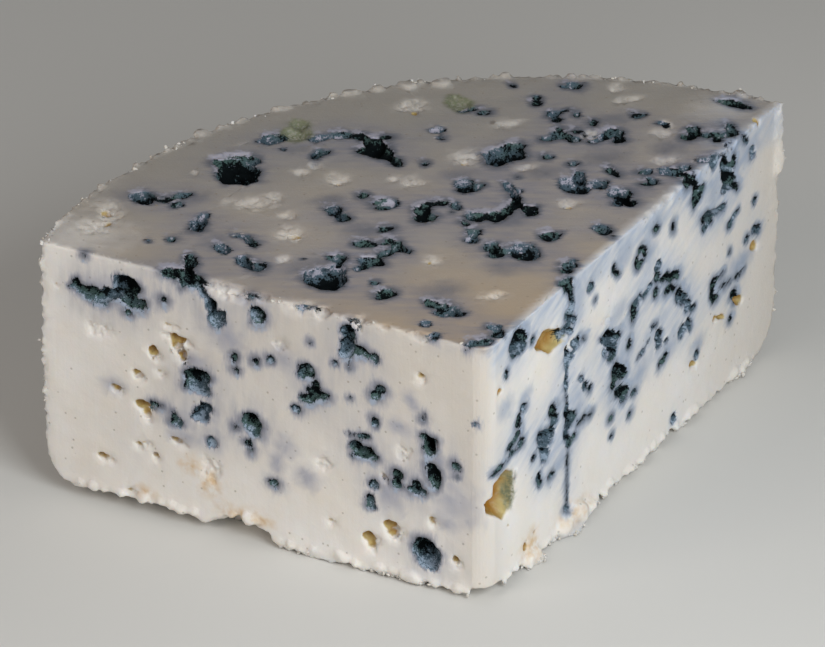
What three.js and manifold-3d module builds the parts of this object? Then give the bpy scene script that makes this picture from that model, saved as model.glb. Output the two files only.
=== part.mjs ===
// A wedge of blue-veined ewe's milk cheese, cut from a wheel that was first halved across its height.
// The top and the two sides are wire-cut faces that lay the mould pockets open. The curved back and
// the base are the wheel's own crumbly outside. Millimetres, +Z up. The wedge stands on its base with
// its tip towards -Y, and the origin is on the base, under the middle of its length and width.
import * as THREE from 'three';
import { ImprovedNoise } from 'three/addons/math/ImprovedNoise.js';
import { mergeVertices } from 'three/addons/utils/BufferGeometryUtils.js';
import Module from 'manifold-3d';

const wasm = await Module();
wasm.setup();

// Driving dimensions of the wheel and of the cuts through it.
const WHEEL_RADIUS = 99.3;
const WEDGE_HEIGHT = 53.3;
const WEDGE_ANGLE = THREE.MathUtils.degToRad(94.3);
const TIP_X = -7;
const TIP_Y = -52;
const TIP_RADIUS = 3.5;
const TIP_STEPS = 6;
const CUT_REACH = 170;

// The two side cuts meet beside the wheel's axis, which lies this far from the tip.
const AXIS_FROM_TIP_X = 12.6;
const AXIS_FROM_TIP_Y = 3.9;

// The rind: a rounded shoulder at the base, and a crumbly surface all over with a finer grain in it.
const SHOULDER_RADIUS = 12;
const SHOULDER_STEPS = 6;
const RIND_FACET = 4;
const RIND_RELIEF = 1.1;
const RIND_GRAIN = 5;
const FINE_GRAIN = 2.5;
const FINE_SHARE = 0.6;

// The mould pockets: how ragged they are and how close their bumps, how long one may be and still get
// few faces, and the channel of a piercing needle, by its radius and its way along the right face.
const POCKET_RAGGEDNESS = 0.32;
const POCKET_BUMPS = 1.7;
const COARSE_POCKET = 5.2;
const NEEDLE_RADIUS = 1.1;
const NEEDLE_ALONG = 29.3;
const NEEDLE_SIDES = 8;

// Openings in each cut face, as [along, up, length, width, depth, turn in degrees]. On the top, along
// and up are X and Y from the tip. On the sides they are the way from the tip and the height.
const TOP_POCKETS = [
  [-25, 78.5, 9, 11, 6, 0],
  [-44.5, 73.5, 5, 5, 3, 0],
  [-37.5, 61.5, 3.2, 7, 2.2, -25],
  [-30.7, 52.7, 2.5, 5.5, 1.8, 20],
  [-33, 43.7, 3.5, 6.5, 2.5, 20],
  [-44.5, 46, 6, 6, 3, 0],
  [-12, 57.5, 3.5, 6.5, 2, 10],
  [-13, 89.3, 12, 6, 2, 15],
  [-2, 86, 8, 3.5, 2, -25],
  [2.5, 79, 5, 13, 3.5, 20],
  [-8.3, 81, 3.5, 3.5, 2, 0],
  [25, 70.5, 8, 9, 4.5, -20],
  [14.8, 61, 5, 5.5, 2.5, 0],
  [-2, 58.7, 5, 4, 2, 0],
  [3.5, 53, 4.5, 8, 2.5, -15],
  [15, 48.3, 8.5, 5, 2.5, 5],
  [22.3, 57, 2.5, 9, 2, 0],
  [23, 48.3, 4, 4.5, 2, 0],
  [34.5, 55.5, 7, 9, 3.5, 0],
  [41, 48, 5, 8.5, 4, 10],
  [53.5, 54.3, 6.5, 5.5, 2.5, 0],
  [62.5, 69, 7, 6, 3, 0],
  [68.3, 67.5, 4, 6, 2, 0],
  [37.8, 74.3, 7, 5, 3, -15],
  [47, 72, 4.5, 6.5, 3, 15],
  [38.5, 82.5, 3.5, 5.5, 2, 0],
  [23, 91, 4.5, 7, 2, 0],
  [-20.5, 34.8, 8.5, 9.5, 4, 0],
  [-11, 38, 6.5, 4.5, 2.5, 20],
  [-5, 42, 6, 5, 2.5, 30],
  [-11.5, 25.8, 4.5, 4.5, 2.2, 0],
  [-3, 17.5, 6, 7.5, 3, 25],
  [1.5, 4.5, 8, 4, 2, 15],
  [10, 42, 3.5, 6, 2, 0],
  [12.3, 36, 4.5, 6.5, 2.5, 0],
  [17.3, 33.7, 5.5, 8, 3, 0],
  [23.6, 38, 4.5, 4, 2, 0],
  [33.5, 37.5, 4, 4, 2, 0],
  [23.5, 26, 4, 4.5, 2, 0],
];
const LEFT_POCKETS = [
  [82, 45.4, 7, 3, 2.5, 0],
  [74.2, 47.2, 6.5, 6, 4, 0],
  [61, 52.7, 9, 3.5, 2.5, 18],
  [55.7, 47.2, 4, 6.5, 3.5, -15],
  [47, 49.2, 3.6, 4, 2, 0],
  [28.3, 48.4, 3.5, 7, 2.5, 0],
  [24, 46.4, 5, 2.2, 1.5, 0],
  [36.7, 40, 3.5, 4, 2, 0],
  [35, 35.2, 6.5, 3, 2.5, -25],
  [22.3, 39, 3.5, 3.5, 2, 0],
  [59.5, 31.9, 7, 5.5, 3.5, 0],
  [58.2, 25.5, 4.3, 4.5, 2.5, 0],
  [48.2, 25.9, 4.5, 4.5, 3, 0],
  [25.7, 26, 6.5, 3.5, 4, 0],
  [12, 30.4, 2.4, 4.7, 3, 0],
  [10.8, 24.2, 3.5, 5, 2, 0],
  [18.4, 21.7, 3, 4, 2, 0],
  [14, 20.5, 4, 3.5, 2, 0],
  [12.4, 7.4, 6, 6.5, 4.5, 0],
  [63, 38.2, 4, 5.5, 1.5, 0],
  [71, 23.2, 3.5, 4, 1.5, 0],
  [63.7, 20.7, 4, 6, 1.5, 0],
  [19.7, 10.7, 4, 4, 1.8, 0],
  [24.2, 7.5, 3, 3.7, 1.5, 0],
];
const RIGHT_POCKETS = [
  [11, 49.7, 6, 5.5, 3, 0],
  [22.5, 44, 11.5, 5, 3, -24],
  [30, 48.2, 4, 9, 2.5, 0],
  [30, 37.7, 4, 4, 2, 0],
  [30.5, 23.2, 5, 8.5, 3, 0],
  [10.5, 31.5, 5, 6.5, 3.5, -20],
  [4, 20.7, 11, 9.5, 4.5, -15],
  [21.3, 23.4, 7, 7, 3, 0],
  [24, 28.9, 4, 3.7, 2, 0],
  [19, 16.7, 2.5, 3.5, 1.5, 0],
  [36, 29.2, 6, 2.5, 2, -40],
  [45.3, 32.7, 8, 8, 4, 0],
  [49.2, 24.4, 7.5, 5.5, 4, -25],
  [51, 19.2, 7, 4.5, 2.5, -20],
  [47, 47.7, 3, 3.5, 1.8, 0],
  [56.5, 45.7, 4.5, 5, 2.5, 0],
  [78.7, 48.7, 4.5, 4.5, 2.5, 0],
  [90.3, 47.5, 6.5, 10, 3, 20],
  [84.7, 41.4, 9.5, 4, 3, 0],
  [54.8, 35.4, 4.5, 5.5, 2.5, 0],
  [63.2, 38.7, 3.5, 6, 2, 0],
  [67.8, 36, 7.5, 3.4, 4, -12],
  [73, 29.5, 4.5, 7, 2, 30],
  [75.5, 22.7, 4, 6.5, 1.6, -10],
  [64.3, 24.5, 3.5, 4.5, 2.5, 0],
  [85.5, 24.7, 4.2, 5, 2.5, 0],
  [96, 17.2, 4, 3, 1.5, -20],
  [89.3, 16.7, 8, 2.5, 1.5, -28],
  [101.3, 28.5, 5, 6, 1.2, 0],
];

// Chunks lost from the edges, as [face, along, up, length, height, depth].
const LOST_CHUNKS = [
  ['left', 50.5, 0, 14, 9.8, 7],
  ['left', 74, 0, 40, 6.4, 16],
  ['left', 1, 0, 15, 5, 6],
  ['left', 88, 0, 9, 6, 6],
  ['right', 41, 0, 6, 5, 5],
  ['right', 8, 0, 12, 5, 5],
  ['right', 69, 0, 7, 4, 4],
  ['right', 111.5, 55.5, 5, 7, 9],
];

// Crumbs still hanging on the right face's foot, as [along, up, length, height, depth].
const CLINGING_CRUMBS = [
  [29, 2.2, 7, 5, 1.7],
  [34.5, 1.6, 7.5, 5, 2.1],
  [16.5, 1.4, 6, 3.5, 1.4],
];

// Small crumbs torn off along an edge, as [face, up, from, to]. Each is longer and higher than deep.
const TORN_EDGES = [
  ['left', 0, 10, 86],
  ['right', 0, 12, 104],
  ['left', WEDGE_HEIGHT, 14, 54],
];
const TORN_STEP_SHORTEST = 3.9;
const TORN_STEP_LONGEST = 7.2;
const TORN_SMALLEST = 1.0;
const TORN_LARGEST = 2.3;
const TORN_LENGTH = 2.4;
const TORN_WIDTH = 1.4;
const TORN_SEED = 7;

// Points closer than this are one point.
const ROUNDING = 1e-3;

const noise = new ImprovedNoise();

// A repeatable stream of numbers from 0 to 1.
function seededDraw(seed) {
  let state = seed;
  return () => {
    state = (Math.imul(state, 1664525) + 1013904223) >>> 0;
    return state / 2 ** 32;
  };
}

// A closed geometry as a solid that can be joined and cut.
function solid(geometry) {
  geometry.deleteAttribute('normal');
  geometry.deleteAttribute('uv');
  const merged = mergeVertices(geometry, ROUNDING);
  const corners = merged.index.array;
  const kept = [];
  for (let i = 0; i < corners.length; i += 3) {
    const [a, b, c] = corners.slice(i, i + 3);
    if (a !== b && b !== c && c !== a) kept.push(a, b, c);
  }
  return new wasm.Manifold(new wasm.Mesh({
    numProp: 3,
    vertProperties: new Float32Array(merged.attributes.position.array),
    triVerts: new Uint32Array(kept),
  }));
}

// The lower half of the wheel, turned about its axis, with a crumbly rind. The base stays flat.
function wheelHalf() {
  const core = WHEEL_RADIUS - SHOULDER_RADIUS;
  const outline = [new THREE.Vector2(0, 0)];
  for (let step = 0; step <= SHOULDER_STEPS; step += 1) {
    const turn = (step / SHOULDER_STEPS) * (Math.PI / 2);
    const radius = core + SHOULDER_RADIUS * Math.sin(turn);
    outline.push(new THREE.Vector2(radius, SHOULDER_RADIUS * (1 - Math.cos(turn))));
  }
  const overshoot = WEDGE_HEIGHT + 2 * RIND_FACET;
  for (let z = SHOULDER_RADIUS + RIND_FACET; z < overshoot; z += RIND_FACET) {
    outline.push(new THREE.Vector2(WHEEL_RADIUS, z));
  }
  outline.push(new THREE.Vector2(0, outline.at(-1).y));

  const columns = Math.round((2 * Math.PI * WHEEL_RADIUS) / RIND_FACET);
  const geometry = new THREE.LatheGeometry(outline, columns).rotateX(Math.PI / 2);
  const points = geometry.attributes.position;
  const point = new THREE.Vector3();
  const outward = new THREE.Vector3();
  for (let i = 0; i < points.count; i += 1) {
    point.fromBufferAttribute(points, i);
    const radius = Math.hypot(point.x, point.y);
    if (radius <= core + ROUNDING) continue;
    outward.set(point.x, point.y, 0).multiplyScalar((radius - core) / radius);
    outward.z = Math.min(0, point.z - SHOULDER_RADIUS);
    const grain = point.clone().divideScalar(RIND_GRAIN);
    const fine = point.clone().divideScalar(FINE_GRAIN);
    const bumps = noise.noise(grain.x, grain.y, grain.z) + FINE_SHARE * noise.noise(fine.x, fine.y, fine.z);
    point.addScaledVector(outward.normalize(), RIND_RELIEF * bumps);
    points.setXYZ(i, point.x, point.y, Math.max(0, point.z));
  }
  geometry.translate(TIP_X + AXIS_FROM_TIP_X, TIP_Y + AXIS_FROM_TIP_Y, 0);
  return solid(geometry);
}

// The prism between the two side cuts and under the top cut, with a softly rounded tip.
function wedgeCut() {
  const half = WEDGE_ANGLE / 2;
  const tipCentre = TIP_RADIUS / Math.sin(half);
  const outline = new THREE.Shape();
  outline.moveTo(CUT_REACH * Math.sin(half), CUT_REACH * Math.cos(half));
  outline.lineTo(-CUT_REACH * Math.sin(half), CUT_REACH * Math.cos(half));
  outline.absarc(0, tipCentre, TIP_RADIUS, Math.PI + half, 2 * Math.PI - half, false);
  const prism = new THREE.ExtrudeGeometry(outline, {
    depth: WEDGE_HEIGHT,
    bevelEnabled: false,
    curveSegments: TIP_STEPS,
  });
  return solid(prism.translate(TIP_X, TIP_Y, 0));
}

// The three cut faces, each by a starting point and two directions in the face.
function cutFaces() {
  const side = Math.sin(WEDGE_ANGLE / 2);
  const ahead = Math.cos(WEDGE_ANGLE / 2);
  const tip = new THREE.Vector3(TIP_X, TIP_Y, 0);
  const up = new THREE.Vector3(0, 0, 1);
  return {
    top: {
      start: tip.clone().setZ(WEDGE_HEIGHT),
      along: new THREE.Vector3(1, 0, 0),
      up: new THREE.Vector3(0, 1, 0),
    },
    left: { start: tip, along: new THREE.Vector3(-side, ahead, 0), up },
    right: { start: tip, along: new THREE.Vector3(side, ahead, 0), up },
  };
}

// A ragged lump centred on a face: a pocket or a lost chunk when cut away, a crumb when joined on.
function lump(face, along, up, length, width, depth, turnDegrees = 0) {
  const detail = Math.max(length, width) > COARSE_POCKET ? 1 : 0;
  const geometry = new THREE.IcosahedronGeometry(1, detail);
  const points = geometry.attributes.position;
  const point = new THREE.Vector3();
  for (let i = 0; i < points.count; i += 1) {
    point.fromBufferAttribute(points, i);
    const spot = point.clone().multiplyScalar(POCKET_BUMPS);
    const bump = noise.noise(spot.x + along, spot.y + up, spot.z);
    point.multiplyScalar(1 + POCKET_RAGGEDNESS * bump);
    points.setXYZ(i, point.x, point.y, point.z);
  }
  geometry.scale(length / 2, width / 2, depth);
  geometry.rotateZ(THREE.MathUtils.degToRad(turnDegrees));
  const across = new THREE.Vector3().crossVectors(face.along, face.up);
  const place = new THREE.Matrix4().makeBasis(face.along, face.up, across);
  const centre = face.start.clone().addScaledVector(face.along, along).addScaledVector(face.up, up);
  return solid(geometry.applyMatrix4(place.setPosition(centre)));
}

// The channel that a piercing needle left, half of which the right-hand cut lays open.
function needleChannel(face) {
  const geometry = new THREE.CylinderGeometry(NEEDLE_RADIUS, NEEDLE_RADIUS, 2 * WEDGE_HEIGHT, NEEDLE_SIDES);
  geometry.rotateX(Math.PI / 2);
  const middle = face.start.clone().addScaledVector(face.along, NEEDLE_ALONG);
  return solid(geometry.translate(middle.x, middle.y, WEDGE_HEIGHT));
}

// Small seeded losses all along an edge.
function tornEdge(face, up, from, to, draw) {
  const losses = [];
  let along = from;
  while (along < to) {
    const size = THREE.MathUtils.lerp(TORN_SMALLEST, TORN_LARGEST, draw());
    losses.push(lump(face, along, up, TORN_LENGTH * size, TORN_WIDTH * size, size));
    along += THREE.MathUtils.lerp(TORN_STEP_SHORTEST, TORN_STEP_LONGEST, draw());
  }
  return losses;
}

// The wedge: the half wheel between the cuts, with its crumbs on and its pockets and losses out.
function cheeseWedge() {
  const faces = cutFaces();
  const draw = seededDraw(TORN_SEED);
  const cut = wedgeCut();
  let wedge = wheelHalf().intersect(cut);
  const floorUp = new THREE.BoxGeometry(2 * CUT_REACH, 2 * CUT_REACH, WEDGE_HEIGHT);
  for (const [along, up, length, height, depth] of CLINGING_CRUMBS) {
    wedge = wedge.add(lump(faces.right, along, up, length, height, depth));
  }
  wedge = wedge.intersect(solid(floorUp.translate(0, 0, WEDGE_HEIGHT / 2)));

  const losses = [needleChannel(faces.right)];
  for (const pocket of TOP_POCKETS) losses.push(lump(faces.top, ...pocket));
  for (const pocket of LEFT_POCKETS) losses.push(lump(faces.left, ...pocket));
  for (const pocket of RIGHT_POCKETS) losses.push(lump(faces.right, ...pocket));
  for (const [face, ...chunk] of LOST_CHUNKS) losses.push(lump(faces[face], ...chunk));
  for (const [face, ...edge] of TORN_EDGES) losses.push(...tornEdge(faces[face], ...edge, draw));
  for (const loss of losses) wedge = wedge.subtract(loss);

  const result = wedge.getMesh();
  const geometry = new THREE.BufferGeometry();
  geometry.setAttribute('position', new THREE.BufferAttribute(result.vertProperties, 3));
  geometry.setIndex(new THREE.BufferAttribute(result.triVerts, 1));
  geometry.computeVertexNormals();
  return geometry;
}

const ivoryPaste = new THREE.MeshStandardMaterial({ color: 0xd6d1c7, roughness: 0.6, metalness: 0 });
const wedge = new THREE.Mesh(cheeseWedge(), ivoryPaste);
wedge.name = 'cheese_wedge';

const part = new THREE.Group();
part.add(wedge);

export default part;
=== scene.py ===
import math

import bmesh
import bpy
import numpy as np
from mathutils import Matrix, Vector, noise
from mathutils.bvhtree import BVHTree


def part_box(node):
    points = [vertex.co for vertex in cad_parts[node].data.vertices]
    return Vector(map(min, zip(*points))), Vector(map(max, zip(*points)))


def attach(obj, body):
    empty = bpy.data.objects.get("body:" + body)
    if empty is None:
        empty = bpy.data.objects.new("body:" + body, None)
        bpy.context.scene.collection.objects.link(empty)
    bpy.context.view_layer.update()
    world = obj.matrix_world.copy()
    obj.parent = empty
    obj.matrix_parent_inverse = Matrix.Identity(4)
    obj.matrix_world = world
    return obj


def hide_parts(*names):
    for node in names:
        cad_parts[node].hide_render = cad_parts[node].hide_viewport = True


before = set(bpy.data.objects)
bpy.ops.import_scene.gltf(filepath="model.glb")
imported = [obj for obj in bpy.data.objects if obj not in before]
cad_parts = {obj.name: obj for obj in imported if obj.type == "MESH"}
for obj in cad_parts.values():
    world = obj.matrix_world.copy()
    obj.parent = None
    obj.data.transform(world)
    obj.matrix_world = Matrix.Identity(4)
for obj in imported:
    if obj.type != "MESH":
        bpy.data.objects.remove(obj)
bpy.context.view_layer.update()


# The wedge as the wire left it
# Half the height of a ripened wheel of pressed blue curd, standing on the wheel's flat end. A wire cut it
# level across the top and twice down through the middle, which left a slightly rounded tip.
MM = 0.001
_, wedge_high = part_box("cheese_wedge")
HEIGHT = wedge_high.z
TIP = Vector((-7, -52, 0)) * MM
TIP_RADIUS = 3.5 * MM
TIP_STEPS = 8
HALF_ANGLE = math.radians(47.15)
WHEEL_AXIS = TIP + Vector((12.6, 3.9, 0)) * MM
WHEEL_RADIUS = 99.3 * MM
SHOULDER = 12 * MM
SHOULDER_STEPS = 10
RIND_STEPS = 240
JOIN_WITHIN = 0.001 * MM
IN_LINE = math.radians(0.3)
AT_TIP = 0.1 * MM

LEFT_ALONG = Vector((-math.sin(HALF_ANGLE), math.cos(HALF_ANGLE), 0))
RIGHT_ALONG = Vector((math.sin(HALF_ANGLE), math.cos(HALF_ANGLE), 0))
LEFT_OUT = Vector((-math.cos(HALF_ANGLE), -math.sin(HALF_ANGLE), 0))
RIGHT_OUT = Vector((math.cos(HALF_ANGLE), -math.sin(HALF_ANGLE), 0))

wedge = bmesh.new()
core = WHEEL_RADIUS - SHOULDER
foot = wedge.verts.new((core, 0, 0))
bmesh.ops.spin(
    wedge, geom=[foot], cent=(core, 0, SHOULDER), axis=(0, -1, 0), angle=math.pi / 2, steps=SHOULDER_STEPS
)
wedge.verts.ensure_lookup_table()
shoulder_top = wedge.verts[-1]
rim = wedge.verts.new((WHEEL_RADIUS, 0, HEIGHT))
middle_top = wedge.verts.new((0, 0, HEIGHT))
middle_foot = wedge.verts.new((0, 0, 0))
for start, end in ((middle_foot, foot), (shoulder_top, rim), (rim, middle_top)):
    wedge.edges.new((start, end))
bmesh.ops.spin(
    wedge, geom=wedge.verts[:] + wedge.edges[:], cent=(0, 0, 0), axis=(0, 0, 1),
    angle=math.tau, steps=RIND_STEPS, use_merge=True,
)
bmesh.ops.remove_doubles(wedge, verts=wedge.verts, dist=JOIN_WITHIN)
bmesh.ops.translate(wedge, vec=WHEEL_AXIS, verts=wedge.verts)
for out in (LEFT_OUT, RIGHT_OUT):
    everything = wedge.verts[:] + wedge.edges[:] + wedge.faces[:]
    cut = bmesh.ops.bisect_plane(wedge, geom=everything, plane_co=TIP, plane_no=out, clear_outer=True)
    cut_edges = [item for item in cut["geom_cut"] if isinstance(item, bmesh.types.BMEdge)]
    bmesh.ops.contextual_create(wedge, geom=cut_edges)
bmesh.ops.recalc_face_normals(wedge, faces=wedge.faces)
bmesh.ops.dissolve_limit(wedge, angle_limit=IN_LINE, verts=wedge.verts, edges=wedge.edges)
tip_edge = [edge for edge in wedge.edges if all((vert.co - TIP).xy.length < AT_TIP for vert in edge.verts)]
bmesh.ops.bevel(
    wedge, geom=tip_edge, offset=TIP_RADIUS / math.tan(HALF_ANGLE), offset_type="OFFSET", segments=TIP_STEPS,
    profile=0.5, affect="EDGES", material=-1,
)


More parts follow.
